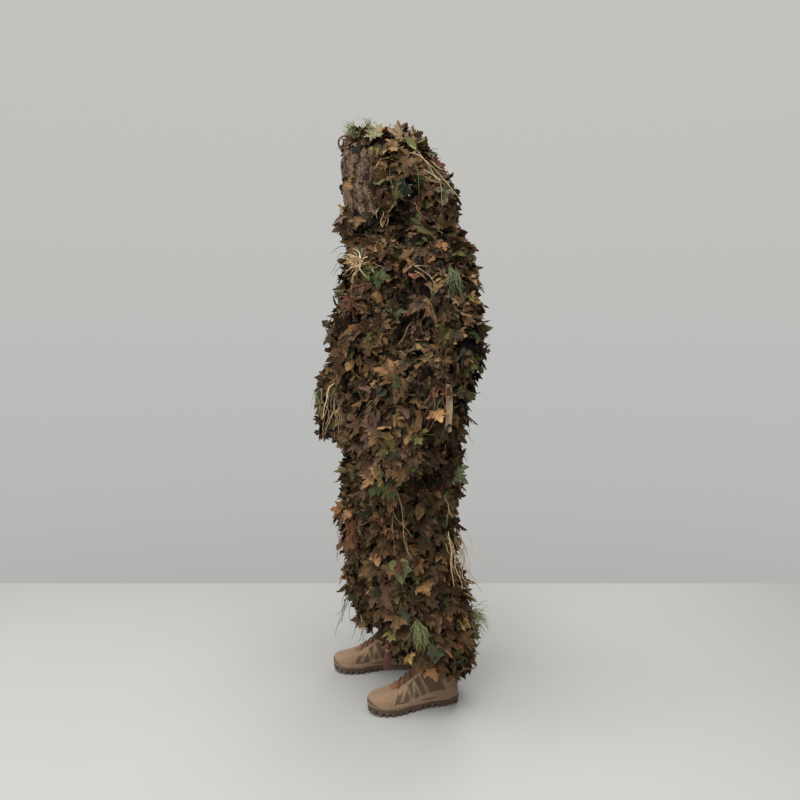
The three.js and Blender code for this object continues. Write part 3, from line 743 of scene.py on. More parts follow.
def joined(batches):
    """Several sets of mesh arrays as one."""
    offset = np.cumsum([0] + [len(batch["points"]) for batch in batches[:-1]])
    merged = {key: np.concatenate([batch[key] for batch in batches]) for key in batches[0]}
    merged["faces"] = np.concatenate([b["faces"] + o for b, o in zip(batches, offset)])
    return merged


def leaf_tints(count, rng, colours):
    weights = np.array([weight for weight, _ in colours])
    table = np.array([srgb(*colour) for _, colour in colours])
    chosen = table[rng.choice(len(table), count, p=weights / weights.sum())].copy()
    shade = rng.lognormal(SHADE_MEAN, SHADE_SPREAD, (count, 1))
    chosen[:, :3] *= shade * rng.lognormal(0, HUE_SPREAD, (count, 3))
    return np.clip(chosen, 0, 1)


def turn_in_surface(direction, normal, angle):
    side = np.cross(normal, direction)
    return direction * np.cos(angle) + side * np.sin(angle)


def leaf_layer(skin, layer, rng, keep):
    """One layer of leaves over a skin, as a list of mesh arrays."""
    place, normal, down = skin.scatter(layer["density"], rng)
    if keep is not None:
        chosen = keep(place)
        place, normal, down = place[chosen], normal[chosen], down[chosen]
    count = len(place)
    mix = layer["mix"]
    kinds = rng.choice(list(mix), count, p=list(mix.values()))
    sizes = np.clip(rng.lognormal(math.log(layer["size"]), 0.30, count), 0.018, 0.062)
    tints = leaf_tints(count, rng, layer["colours"])
    turn = np.radians(rng.normal(0, 62, (count, 1)))
    heading = turn_in_surface(down, normal, turn)
    depth = rng.uniform(*layer["depth"], (count, 1))
    # a leaf hangs from near its stem end, so its middle stays at its place
    base = place + normal * depth - heading * sizes[:, None] * 0.3
    batches = []
    for kind in mix:
        of_kind = kinds == kind
        batches.append(make_leaves(
            kind, base[of_kind], normal[of_kind], heading[of_kind], sizes[of_kind],
            tints[of_kind], rng, layer["lift"],
        ))
    return batches


# the leaves close to the cloth, coloured nearly black as painted shade in the gaps
UNDER_LAYER = {
    "density": 1500, "size": 0.052, "depth": (0.000, 0.006), "lift": (-5, 18),
    "colours": UNDER_SHADE_COLOURS, "mix": {"plane": 0.5, "oval": 0.5},
}
OUTER_LAYER = {
    "density": 4300, "size": 0.037, "depth": (0.003, 0.018), "lift": (0, 66),
    "colours": LEAF_COLOURS, "mix": LEAF_MIX,
}
SKINS = {}  # the skin that each zone's leaves were sewn on


def clothe(name, zone, skin, seed, keep=None, sprinkled=True):
    """Covers a skin with leaves as one piece: nearly black ones close to the cloth, whose colour is
    painted shade for the gaps between leaves, and others on top.
    """
    rng = np.random.default_rng(seed)
    SKINS[zone] = skin
    batches = leaf_layer(skin, UNDER_LAYER, rng, keep) + leaf_layer(skin, OUTER_LAYER, rng, keep)
    if sprinkled:
        sprinkle(zone, skin, rng, keep)
    sew_on(build(name, material=LEAF, **joined(batches)), zone, "leaf_cover")


ACCENT_HEIGHT = 0.032
ACCENT_LIFT = (4, 14)
ACCENT_OUTWARD = 0.8  # how much these leaves lean out to their own side
# large or bright leaves that stand out: zone, place, shape, size, colour and turn from hanging
ACCENTS = [
    ("hood", (0.090, -0.020, 1.815), "maple", 0.064, (134, 112, 87), 178),
    ("hood", (0.085, 0.022, 1.808), "maple", 0.060, (127, 104, 77), 150),
    ("hood", (0.080, -0.105, 1.795), "maple", 0.060, (108, 106, 78), 160),
    ("hood", (0.110, 0.006, 1.780), "oval", 0.056, (84, 88, 46), 10),
    ("hood", (0.115, 0.030, 1.527), "maple", 0.056, (100, 114, 70), 25),
    ("hood", (0.120, -0.035, 1.640), "ivy", 0.044, (35, 48, 36), 0),
    ("hood", (0.122, -0.012, 1.622), "ivy", 0.040, (30, 42, 32), 60),
    ("torso", (0.117, -0.101, 1.357), "maple", 0.060, (74, 86, 50), 0),
    ("torso", (0.095, -0.130, 1.378), "maple", 0.050, (82, 90, 48), 40),
    ("left_arm_top", (0.375, 0.002, 1.185), "ivy", 0.070, (116, 122, 78), -12),
    ("left_arm_end", (0.371, 0.090, 1.130), "plane", 0.062, (90, 94, 78), 10),
    ("left_leg_top", (0.201, -0.094, 0.735), "maple", 0.092, (94, 104, 60), 12),
    ("left_leg_end", (0.216, -0.049, 0.480), "ivy", 0.078, (122, 126, 86), 0),
    ("left_leg_end", (0.193, -0.103, 0.399), "maple", 0.082, (97, 77, 57), 20),
    ("left_leg_end", (0.205, -0.060, 0.425), "maple", 0.070, (105, 82, 61), -35),
    ("left_leg_end", (0.226, -0.048, 0.336), "ivy", 0.060, (78, 84, 64), 20),
    ("left_leg_end", (0.247, 0.056, 0.215), "ivy", 0.060, (76, 80, 60), -20),
    ("right_leg_end", (-0.065, -0.134, 0.385), "ivy", 0.060, (76, 82, 62), 0),
]


def nearest_on_skin(skin, point):
    """The skin's point nearest to a given one, with its outward normal and downhill."""
    flat = skin.points.reshape(-1, 3)
    index = np.linalg.norm(flat - np.array(point), axis=1).argmin()
    normal = skin.normals().reshape(-1, 3)[index]
    down = np.gradient(skin.points, axis=0).reshape(-1, 3)[index]
    return flat[index], normal, unit(down)


def add_accent_leaves():
    rng = np.random.default_rng(900)
    groups = {}
    for zone, point, shape, size, colour, turn in ACCENTS:
        place, normal, down = nearest_on_skin(SKINS[zone], point)
        normal = unit(normal + ACCENT_OUTWARD * np.array([math.copysign(1, point[0]), 0, 0]))
        down = unit(down - normal * (down @ normal))
        heading = turn_in_surface(down, normal, math.radians(turn))
        base = place + normal * ACCENT_HEIGHT - heading * size * 0.45
        tint = np.array([srgb(*colour)])
        groups.setdefault(zone, []).append(make_leaves(
            shape, base[None], normal[None], heading[None], np.array([size]), tint, rng,
            ACCENT_LIFT, flatness=0.6,
        ))
    for zone, batches in groups.items():
        sew_on(build(f"accent_leaves_{zone}", material=LEAF, **joined(batches)), zone, "leaf_cover")


# ---- strands: raffia, jute, grass, stems and strings ------------------------------------

STRAND_POINTS = 10
STRAND_SIDES = 4
STRAND_KINDS = {
    # slot, colour, radius, width over thickness
    "raffia": ("raffia", (204, 176, 134), 0.0021, 0.35),
    "pale": ("raffia", (188, 170, 128), 0.0014, 0.8),
    "grass": ("moss", (94, 106, 60), 0.0011, 0.5),
    "moss": ("moss", (132, 138, 84), 0.0009, 0.8),
    "red": ("vine", (122, 62, 36), 0.0015, 0.7),
    "stem": ("vine", (86, 46, 34), 0.0013, 1.0),
    "dark": ("vine", (48, 36, 27), 0.0011, 1.0),
}
# zone, root, heading, kind, strands, length, spread, droop
TUFTS = [
    ("hood", (0.030, -0.155, 1.800), (0.1, -0.45, 1.0), "moss", 70, 0.052, 0.40, 0.15),
    ("hood", (0.045, -0.110, 1.815), (0.2, -0.10, 1.0), "moss", 50, 0.042, 0.45, 0.15),
    ("hood", (0.060, -0.075, 1.825), (0.1, -0.70, 0.7), "stem", 3, 0.080, 0.12, 0.35),
    ("veil", (0.108, -0.052, 1.735), (0.5, -0.80, 0.2), "raffia", 10, 0.048, 0.50, 0.60),
    ("hood", (0.131, -0.016, 1.681), (0.6, 0.45, 0.2), "red", 22, 0.042, 0.75, 0.10),
    ("hood", (0.130, -0.004, 1.640), (0.5, 0.40, -0.6), "raffia", 3, 0.034, 0.15, 0.00),
    ("hood", (0.118, 0.006, 1.755), (0.4, 0.75, -0.3), "pale", 3, 0.150, 0.25, 0.75),
    ("hood", (0.100, 0.050, 1.725), (0.4, 0.60, -0.6), "pale", 3, 0.130, 0.30, 0.50),
    ("hood", (0.125, 0.010, 1.690), (0.4, 0.90, -0.1), "pale", 2, 0.110, 0.20, 0.40),
    ("hood", (0.122, -0.030, 1.750), (0.5, 0.20, -0.9), "grass", 6, 0.110, 0.20, 0.40),
    ("hood", (0.126, 0.018, 1.605), (0.5, 0.00, -1.0), "red", 2, 0.065, 0.10, 0.10),
    ("veil", (0.106, -0.080, 1.590), (0.5, -0.20, -1.0), "raffia", 5, 0.070, 0.20, 0.10),
    ("left_arm_top", (0.280, -0.020, 1.385), (0.4, 0.70, -0.1), "pale", 3, 0.130, 0.14, 0.65),
    ("left_arm_top", (0.315, 0.074, 1.375), (0.5, 0.10, -1.0), "grass", 34, 0.080, 0.32, 0.10),
    ("torso", (0.148, -0.182, 1.292), (0.6, -0.50, -0.3), "red", 36, 0.042, 0.70, 0.20),
    ("torso", (0.165, -0.150, 1.335), (0.7, -0.50, -0.2), "red", 16, 0.034, 0.70, 0.20),
    ("right_arm_end", (-0.325, -0.220, 0.995), (-0.1, -0.4, -0.8), "moss", 110, 0.085, 0.40, 0.20),
    ("right_arm_end", (-0.255, -0.165, 1.025), (0.4, -0.35, -0.7), "raffia", 13, 0.120, 0.16, 0.70),
    ("left_arm_end", (0.391, 0.019, 1.055), (0.3, -0.45, -1.0), "red", 6, 0.095, 0.20, 0.30),
    ("left_leg_top", (0.215, -0.062, 0.760), (0.3, 0.12, -1.0), "pale", 5, 0.190, 0.13, 0.05),
    ("right_leg_end", (-0.030, -0.150, 0.570), (0.2, -0.15, -1.0), "red", 22, 0.110, 0.13, 0.30),
    ("left_leg_end", (0.160, -0.140, 0.612), (0.5, 0.85, 0.05), "red", 3, 0.130, 0.03, 0.10),
    ("left_leg_end", (0.215, 0.112, 0.570), (0.6, 0.2, -0.9), "raffia", 9, 0.150, 0.12, 0.20),
    ("left_leg_end", (0.190, 0.150, 0.575), (0.4, 0.4, -0.9), "raffia", 7, 0.120, 0.20, 0.30),
    ("left_leg_end", (0.240, 0.001, 0.310), (0.6, 0.00, -0.8), "moss", 90, 0.062, 0.42, 0.20),
    ("left_leg_end", (0.165, 0.200, 0.300), (0.3, 0.80, -0.5), "moss", 80, 0.060, 0.45, 0.20),
    ("right_leg_end", (-0.100, -0.130, 0.330), (0.0, -0.5, -1.0), "dark", 8, 0.125, 0.22, 0.30),
]
SPRINKLES_PER_M2 = 42
# kind, weight, strands and length of the small tufts that are sewn on all over
SPRINKLES = [
    ("pale", 0.16, 3, 0.095),
    ("raffia", 0.10, 5, 0.050),
    ("grass", 0.24, 14, 0.050),
    ("moss", 0.12, 18, 0.038),
    ("red", 0.10, 5, 0.050),
    ("dark", 0.28, 5, 0.090),
]
# heading, strands and length of the raffia tied on the chest
RAFFIA_BOW = [
    ((0.6, -0.8, 0.1), 26, 0.040),
    ((-0.4, -0.5, 0.6), 16, 0.060),
    ((0.8, 0.2, 0.3), 14, 0.055),
    ((0.2, -0.5, -1.0), 12, 0.075),
]
RAFFIA_SHIFT = 0.020  # from its CAD node's middle, in x, y and z
GARNISH = {}  # mesh arrays of strands, by zone and slot
GARNISH_NODES = {"raffia_torso": ["raffia_bow"], "moss_hood": ["moss_tuft"]}


def tubes(path, radius, flatness, rng, taper=0.55):
    """Four-sided tubes along paths: each tube's points, the faces of one, and each one's UVs."""
    count, steps = path.shape[:2]
    tangent = unit(np.gradient(path, axis=1))
    reference = unit(rng.normal(size=(count, 1, 3)))
    first = unit(np.cross(tangent, reference))
    second = np.cross(tangent, first)
    angle = 2 * np.pi * np.arange(STRAND_SIDES) / STRAND_SIDES
    along = np.linspace(0, 1, steps)
    thick = radius * (1 - taper * along ** 2)
    offset = (
        np.cos(angle)[:, None] * first[:, :, None, :]
        + flatness * np.sin(angle)[:, None] * second[:, :, None, :]
    )
    points = path[:, :, None, :] + thick[None, :, None, None] * offset
    length = np.linalg.norm(np.diff(path, axis=1), axis=2).sum(1)
    u = np.tile(angle / (2 * np.pi) * 0.01, (count, steps, 1))
    v = np.repeat((length[:, None] * along)[..., None], STRAND_SIDES, 2)
    v = v + rng.uniform(0, 5, (count, 1, 1))
    uv = np.stack([u, v], -1).reshape(count, -1, 2)
    return points.reshape(count, -1, 3), quad_faces(steps, STRAND_SIDES), uv


def one_mesh(points, faces, uv, colour):
    """Tubes of one colour as mesh arrays."""
    count, size = points.shape[:2]
    return {
        "points": points.reshape(-1, 3),
        "faces": copied_faces(faces, count, size),
        "uv": uv.reshape(-1, 2),
        "tint": np.tile(srgb(*colour), (count * size, 1)),
    }


def tuft(zone, root, heading, kind, count, length, spread, droop, rng):
    """Adds strands that leave one place and bend down under their weight."""
    slot_name, colour, radius, flatness = STRAND_KINDS[kind]
    along = np.linspace(0, 1, STRAND_POINTS)[None, :, None]
    lengths = length * rng.uniform(0.55, 1.15, (count, 1, 1))
    leave = unit(np.array(heading) + spread * rng.normal(size=(count, 3)))[:, None, :]
    start = np.array(root) + rng.normal(0, 0.003 + 0.07 * length, (count, 1, 3))
    path = start + lengths * (leave * along - UP * droop * along ** 2)
    for waves in (0.7, 1.6):
        sway = unit(np.cross(leave, rng.normal(size=(count, 1, 3))))
        phase = rng.uniform(0, 2 * np.pi, (count, 1, 1))
        swing = np.sin(2 * np.pi * waves * along + phase) - np.sin(phase)
        path = path + sway * swing * lengths * 0.075 / waves
    points, faces, uv = tubes(path, radius * rng.uniform(0.85, 1.15), flatness, rng)
    keep = within_limits(points)
    if not keep.any():
        return
    points, uv = points[keep], uv[keep]
    kept, size = points.shape[:2]
    tint = np.array(srgb(*colour)) * rng.lognormal(0, 0.26, (kept, 1))
    tint[:, 3] = 1
    GARNISH.setdefault((zone, slot_name), []).append({
        "points": points.reshape(-1, 3),
        "faces": copied_faces(faces, kept, size),
        "uv": uv.reshape(-1, 2),
        "tint": np.repeat(np.clip(tint, 0, 1), size, 0),
    })


def sprinkle(zone, skin, rng, keep):
    """Small tufts all over a skin."""
    place, normal, down = skin.scatter(SPRINKLES_PER_M2, rng)
    weights = np.array([weight for _, weight, _, _ in SPRINKLES])
    chosen = rng.choice(len(SPRINKLES), len(place), p=weights / weights.sum())
    for index in range(len(place)):
        if keep is not None and not keep(place[index:index + 1])[0]:
            continue
        kind, _, strands, length = SPRINKLES[chosen[index]]
        heading = 0.5 * normal[index] + down[index]
        root = place[index] + normal[index] * 0.010
        tuft(zone, root, heading, kind, strands, length, 0.45, 0.3, rng)


def add_garnish():
    rng = np.random.default_rng(901)
    for zone, root, heading, kind, count, length, spread, droop in TUFTS:
        tuft(zone, root, heading, kind, count, length, spread, droop, rng)
    knot = node_box("raffia_bow").mean(0) + RAFFIA_SHIFT
    for heading, count, length in RAFFIA_BOW:
        tuft("torso", knot, heading, "raffia", count, length, 0.5, 0.2, rng)
    for (zone, slot_name), batches in GARNISH.items():
        name = f"{slot_name}_{zone}"
        obj = build(name, material=FIBRES[slot_name], **joined(batches))
        sew_on(obj, zone, slot_name, *GARNISH_NODES.get(name, []))


def fibre_piece(name, paths, radius, flatness, colour, rng, taper=0.55):
    """Strands of one colour along paths, as a piece."""
    strands = one_mesh(*tubes(paths, radius, flatness, rng, taper), colour)
    return build(name, material=FIBRES["vine"], **strands)


# the arch from the veil's upper edge back into the hood, as y and z
VINE_ARCH = [
    (-0.190, 1.758), (-0.205, 1.766), (-0.206, 1.783), (-0.193, 1.797), (-0.170, 1.800), (-0.145, 1.790),
]
VINE_SHIFT = -0.050  # in x, from its CAD node's middle


def add_vine_loop():
    """A bent stem that arches in front of the hood and goes back into it."""
    share = np.linspace(0, 1, 40)
    knots = np.array(VINE_ARCH)
    arch = [np.interp(share, np.linspace(0, 1, len(knots)), column) for column in knots.T]
    arch = rounded(np.stack(arch), passes=30)
    middle = node_box("vine_loop").mean(0)[0] + VINE_SHIFT
    x = middle + 0.010 * np.sin(4 * share) + 0.002 * np.sin(23 * share)
    path = np.stack([x, *arch], 1)[None]
    rng = np.random.default_rng(902)
    vine = fibre_piece("vine_arch", path, 0.0036, 0.85, (92, 36, 28), rng, taper=0.3)
    sew_on(vine, "hood", "vine", "vine_loop")


def add_jute_tassel():
    """A hank of jute tied at its neck, with its ends hanging loose."""
    rng = np.random.default_rng(903)
    low, high = node_box("jute_tassel")
    top = np.append((low + high)[:2] / 2, high[2])
    drop = high[2] - low[2]
    count = 34
    along = np.linspace(0, 1, 12)
    turn = rng.uniform(0, 2 * np.pi, (count, 1))
    # narrow at the tie, fuller at the head and at the loose ends
    reach = np.interp(along, [0, 0.10, 0.22, 0.5, 1.0], [0.002, 0.008, 0.0045, 0.009, 0.013])
    reach = reach * rng.uniform(0.6, 1.1, (count, 1))
    fall = along * drop * rng.uniform(0.85, 1.0, (count, 1))
    twist = turn + 0.6 * along
    paths = top + np.stack([reach * np.cos(twist), reach * np.sin(twist), -fall], -1)
    strands = fibre_piece("jute_hank", paths, 0.0016, 0.8, (104, 54, 38), rng)
    sew_on(strands, "left_leg_end", "vine_jute", "jute_tassel")
    angle = np.linspace(0, 2 * np.pi * 5, 70)
    fall = 0.22 * drop + 0.008 * angle / angle[-1]
    tie = top + np.stack([0.0062 * np.cos(angle), 0.0062 * np.sin(angle), -fall], 1)
    wrap = fibre_piece("jute_tie", tie[None], 0.0011, 1.0, (176, 120, 80), rng)
    sew_on(wrap, "left_leg_end", "vine_jute")


def add_wood_strip():
    """A thin split of wood sewn along the sleeve, slightly bent and frayed at its ends."""
    low, high = node_box("bark_strip")
    rows, columns = 18, 7
    v, u = np.meshgrid(np.linspace(0, 1, rows), np.linspace(0, 1, columns), indexing="ij")
    rng = np.random.default_rng(904)
    fray = 0.010 * rng.random(columns) * ((v == 0) * -1.0 + (v == 1))
    y = low[1] + (high[1] - low[1]) * (0.08 + 0.84 * u + 0.05 * np.sin(5 * v))
    z = high[2] - (high[2] - low[2]) * v - fray
    bow = 0.004 * np.sin(np.pi * v) + 0.0015 * np.cos(2 * np.pi * u)
    front = np.stack([np.full_like(y, high[0]) + bow, y, z], -1).reshape(-1, 3)
    back = front - [high[0] - low[0], 0, 0]
    face = quad_faces(rows, columns, closed=False)
    edge = np.concatenate([
        np.arange(columns), np.arange(1, rows) * columns + columns - 1,
        rows * columns - 2 - np.arange(columns - 1), (rows - 2 - np.arange(rows - 2)) * columns,
    ])
    count = len(front)
    rim = np.stack([edge, np.roll(edge, -1), np.roll(edge, -1) + count, edge + count], 1)
    uv = np.tile(np.stack([u * 0.022, v * 0.13], -1).reshape(-1, 2), (2, 1))
    obj = build("wood_strip", np.concatenate([front, back]),
                np.concatenate([face, face[:, ::-1] + count, rim]), WOOD, uv=uv, smooth=False)
    sew_on(obj, "left_arm_end", "wood_strip", "bark_strip")


# ---- bark veil --------------------------------------------------------------------------

VEIL_RINGS = [(1.512, 0.098, 0.138), (1.620, 0.114, 0.151), (1.758, 0.104, 0.158)]
VEIL_Y = FACE_Y - 0.004  # the veil's rear edges
VEIL_RADIUS, VEIL_DROP = 0.145, 0.272  # of the round on which its bark pattern is laid out
VEIL_LEAVES_FROM_Y = -0.100  # leaves cover the veil's sides behind this line
VEIL_BROW_Z = 1.735  # above this they come further round to its front
VEIL_EDGE_Z = 1.556  # below this most of its lower edge has them
VEIL_SLAB = (0.050, -0.192, 1.600)  # near the middle of the largest piece of bark
VEIL_SLAB_SIZE = (0.046, 0.090)


def veil_skin(around):
    z = np.linspace(VEIL_RINGS[-1][0], VEIL_RINGS[0][0], 56)
    return level_skin(z, VEIL_Y, *smooth_rows(VEIL_RINGS, z), around=around)


def on_veil(points):
    """The front half of the ellipse, down to the arc in which the veil's lower edge swings."""
    hinge = joint_point("veil_lift")
    reach = hinge[2] - VEIL_RINGS[0][0]
    from_hinge = np.hypot(points[:, 1] - hinge[1], points[:, 2] - hinge[2])
    return (points[:, 1] < VEIL_Y) & (from_hinge < reach)


def bark_relief(points, outward):
    """Vertical plates and cracks, as a shift outward."""
    shift = []
    for x, y, z in points.reshape(-1, 3):
        plate = noise.noise(Vector((x * 34, y * 34, z * 11)))
        crack = abs(noise.noise(Vector((x * 60 + 9, y * 60, z * 16))))
        rough = noise.noise(Vector((x * 150, y * 150, z * 110)))
        shift.append(0.012 * plate + 0.010 * min(crack * 3, 1) + 0.003 * rough - 0.006)
    return points + outward * np.array(shift).reshape(points.shape[:2])[..., None]


def bark_plates(place, normal, heading, width, length, rng):
    """Flakes of bark with rounded, uneven outlines, as mesh arrays."""
    corners, count = 11, len(place)
    angle = 2 * np.pi * np.arange(corners) / corners
    uneven = rng.uniform(0.78, 1.12, (count, corners))
    side = np.cross(heading, normal)
    lift = np.radians(rng.normal(6, 9, (count, 1)))
    tip = heading * np.cos(lift) + normal * np.sin(lift)
    face = np.cross(side, tip)
    face = face * np.sign((face * normal).sum(1, keepdims=True))
    x = width[:, None] / 2 * uneven * np.sign(np.cos(angle)) * np.abs(np.cos(angle)) ** 0.7
    y = length[:, None] / 2 * uneven * np.sign(np.sin(angle)) * np.abs(np.sin(angle)) ** 0.7
    thick = rng.uniform(0.003, 0.007, (count, 1))

    def ring(scale, height):
        return (
            place[:, None, :] + (scale * x)[..., None] * side[:, None, :]
            + (scale * y)[..., None] * tip[:, None, :] + (height * thick)[..., None] * face[:, None, :]
        )

    top = place[:, None, :] + 1.15 * thick[..., None] * face[:, None, :]
    points = np.concatenate([top, ring(0.55, 1.1), ring(0.95, 0.75), ring(1.0, 0.0)], 1)
    step = np.arange(corners)
    fan = np.stack([0 * step, 1 + step, 1 + (step + 1) % corners], 1)
    rings = quad_faces(3, corners) + 1
    local = np.concatenate([fan, rings[:, [0, 1, 2]], rings[:, [0, 2, 3]]])
    edge = np.stack([x, y], -1)
    uv = np.concatenate([np.zeros((count, 1, 2)), 0.55 * edge, 0.95 * edge, edge], 1)
    uv = uv + rng.uniform(0, 3, (count, 1, 1))
    return {
        "points": points.reshape(-1, 3),
        "faces": copied_faces(local, count, points.shape[1]),
        "uv": uv.reshape(-1, 2),
    }


def add_veil():
    skin = veil_skin(around=150)
    rows, columns = skin.points.shape[:2]
    points = bark_relief(skin.points, skin.normals()).reshape(-1, 3)
    faces = quad_faces(rows, columns)
    faces = faces[on_veil(skin.points.reshape(-1, 3)[faces].mean(1))]
    uv = grid_uv(np.linspace(0, 2 * np.pi * VEIL_RADIUS, columns), np.linspace(0, VEIL_DROP, rows))
    veil = build("veil_bark", points, faces, BARK, uv=uv)
    sew_on(veil, "veil", "bark", "face_veil")
    rng = np.random.default_rng(905)
    place, normal, down = skin.scatter(1100, rng)
    chosen = on_veil(place) & on_veil(place + [0, 0.012, -0.018])
    place, normal, down = place[chosen], normal[chosen], down[chosen]
    heading = turn_in_surface(down, normal, np.radians(rng.normal(0, 10, (len(place), 1))))
    width = rng.uniform(0.010, 0.030, len(place))
    length = rng.uniform(0.022, 0.062, len(place))
    flakes = bark_plates(place + normal * 0.002, normal, heading, width, length, rng)
    sew_on(build("veil_bark_flakes", material=BARK, smooth=False, **flakes), "veil", "bark")
    place, normal, _ = nearest_on_skin(skin, VEIL_SLAB)
    width, length = np.array(VEIL_SLAB_SIZE)[:, None]
    down = np.array([[0.0, 0.0, -1.0]])
    slab = bark_plates((place + normal * 0.010)[None], normal[None], down, width, length, rng)
    sew_on(build("veil_bark_slab", material=BARK, **slab), "veil", "bark")


def add_veil_leaves():
    skin = veil_skin(around=72)

    def covered(points):
        patches = np.array([noise.noise(Vector(p * 16)) for p in points])
        edge = (points[:, 1] > VEIL_LEAVES_FROM_Y) | (patches > 0.50)
        edge |= (points[:, 2] > VEIL_BROW_Z) & (points[:, 1] > -0.140)
        edge |= (points[:, 2] < VEIL_EDGE_Z) & (patches > -0.35)
        return on_veil(points) & edge

    clothe("veil_leaves", "veil", skin, 41, covered, sprinkled=False)


# ---- cloth under the leaves -------------------------------------------------------------


def lay_cloth(name, zone, skin, nodes, keep=None, seed=0.0):
    """The cloth that a region's leaves are sewn to, with small creases."""
    skin.ruffle(0.006, 26.0, seed)
    rows, columns = skin.points.shape[:2]
    points = skin.points.reshape(-1, 3)
    faces = quad_faces(rows, columns)
    if keep is not None:
        faces = faces[keep(points[faces].mean(1))]
    length = np.linalg.norm(np.diff(skin.centres, axis=0), axis=1)
    down = np.concatenate([[0], np.cumsum(length)])
    around = 2 * np.pi * np.sqrt((skin.half_across.max() ** 2 + skin.half_back.max() ** 2) / 2)
    obj = build(name, points, faces, CLOTH, uv=grid_uv(np.linspace(0, around, columns), down))
    sew_on(obj, zone, "olive_cloth", *nodes)


# ---- boots ------------------------------------------------------------------------------

# A boot stands with its heel's rear at the origin and its toe toward -Y; x is outward.
BOOT_HEEL = 0.068  # how far behind the ankle joint the heel ends
BOOT_YAW = math.radians(5)
BOOT_STRETCH = 1.05
SOLE_LENGTH = 0.290
SOLE_STATIONS = [
    # share of the length from the heel, outer and inner half widths
    (0.00, 0.000, 0.000), (0.03, 0.030, 0.030), (0.14, 0.039, 0.038), (0.32, 0.036, 0.033),
    (0.50, 0.042, 0.036), (0.70, 0.053, 0.049), (0.84, 0.049, 0.047), (0.95, 0.031, 0.034),
    (1.00, 0.000, 0.000),
]
UPPER_RINGS = [
    # z, half width, half length and middle's y
    (0.022, 0.052, 0.1440, -0.1460), (0.048, 0.051, 0.1410, -0.1440), (0.058, 0.048, 0.1300, -0.134),
    (0.070, 0.045, 0.1060, -0.113), (0.084, 0.041, 0.0900, -0.099), (0.104, 0.039, 0.0755, -0.0855),
    (0.130, 0.038, 0.0590, -0.0700), (0.150, 0.040, 0.0555, -0.0670),
]
STRAPS = [
    # ends as y and z, seen from the side, and half width
    ((-0.176, 0.085), (-0.198, 0.048), 0.0042),
    ((-0.176, 0.085), (-0.166, 0.044), 0.0042),
    ((-0.153, 0.099), (-0.159, 0.044), 0.0042),
    ((-0.153, 0.099), (-0.134, 0.046), 0.0042),
    ((-0.134, 0.112), (-0.108, 0.050), 0.0045),
    ((-0.202, 0.068), (-0.128, 0.120), 0.0045),
    ((-0.128, 0.120), (-0.118, 0.140), 0.0045),
]
THROAT = 0.016  # half width of the gap that the tongue fills
THROAT_Z = 0.072
PADDING_Z = 0.131  # lower edge of the padded collar
# height and inset of the rings over the padded collar's rim
RIM_RINGS = [(0.1530, 0.0010), (0.1545, 0.0035), (0.1535, 0.0065), (0.1500, 0.0080)]
EYELETS = (0.080, 0.091, 0.104, 0.119, 0.136)
EYELET_X = 0.0195
LUG_PITCH = 0.0215
LUG_GAP = 0.30  # share of the pitch
# rings of a sole from its underside up: inset and height, what a gap between lugs adds to them,
# and the shares of the arch's and the toe's rise that are added to the height
OUTSOLE_RINGS = [
    (0.0160, 0.0050, 0.0, 0.0, 1.0, 0.0),
    (0.0045, 0.0, 0.0070, 0.0070, 1.0, 0.0),
    (0.0015, 0.0, 0.0045, 0.0070, 1.0, 0.0),
    (0.0005, 0.0105, 0.0040, 0.0, 0.3, 0.0),
    (0.0005, 0.0125, 0.0, 0.0, 0.3, 0.0),
    (0.0, 0.0180, 0.0, 0.0, 0.0, 0.0),
    (0.0060, 0.0184, 0.0, 0.0, 0.0, 0.0),
]
MIDSOLE_RINGS = [
    (0.0060, 0.0176, 0.0, 0.0, 0.0, 0.0),
    (0.0015, 0.0184, 0.0, 0.0, 0.0, 0.0),
    (-0.0005, 0.0200, 0.0, 0.0, 0.0, 0.0),
    (-0.0010, 0.0240, 0.0, 0.0, 0.0, 1.0),
    (0.0, 0.0300, 0.0, 0.0, 0.0, 1.0),
    (0.0020, 0.0325, 0.0, 0.0, 0.0, 1.0),
    (0.0060, 0.0320, 0.0, 0.0, 0.0, 1.0),
]
SUEDE_LIGHT = np.array(srgb(150, 122, 94))
SUEDE_DARK = np.array(srgb(102, 80, 57))
COLLAR_TINT = np.array(srgb(118, 92, 68))


def sole_outline(count):
    """Angles from the heel round by the outer side, and signed half widths at them."""
    turn = np.linspace(0, 2 * np.pi, count, endpoint=False)
    table = np.array(SOLE_STATIONS)
    station = np.arccos(1 - 2 * table[:, 0])
    outer = np.interp(turn, station, table[:, 1])
    inner = -np.interp(2 * np.pi - turn, station, table[:, 2])
    x = np.where(turn <= np.pi, outer, inner)
    for _ in range(count // 16):
        x = (np.roll(x, 1) + 2 * x + np.roll(x, -1)) / 4
    return turn, x


def boot_place(side, points):
    """Boot coordinates to the suit's frame."""
    sign = SIDES[side]
    ankle = joint_point(f"{side}_ankle")
    x, y = points[..., 0] * sign, points[..., 1]
    cos, sin = math.cos(BOOT_YAW * sign), math.sin(BOOT_YAW * sign)
    y = y * BOOT_STRETCH
    turned = np.stack([x * cos - y * sin, x * sin + y * cos, points[..., 2]], -1)
    return turned + [ankle[0], ankle[1] + BOOT_HEEL + 0.003, 0]


def toe_spring(y):
    """How far the toe curls up from the ground."""
    return 0.012 * np.clip((-y / SOLE_LENGTH - 0.76) / 0.24, 0, 1) ** 2


def boot_piece(name, side, points, faces, material, slot_name, nodes=(), **layers):
    """Builds a boot's piece from a list of faces that are right for the left boot."""
    if SIDES[side] < 0:
        faces = [face[::-1] for face in faces]
    obj = build(f"{name}_{side}", boot_place(side, points.reshape(-1, 3)), faces, material, **layers)
    if nodes:
        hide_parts(*(f"{node}_{side}" for node in nodes))
    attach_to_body(obj, f"{side}_foot")
    return obj


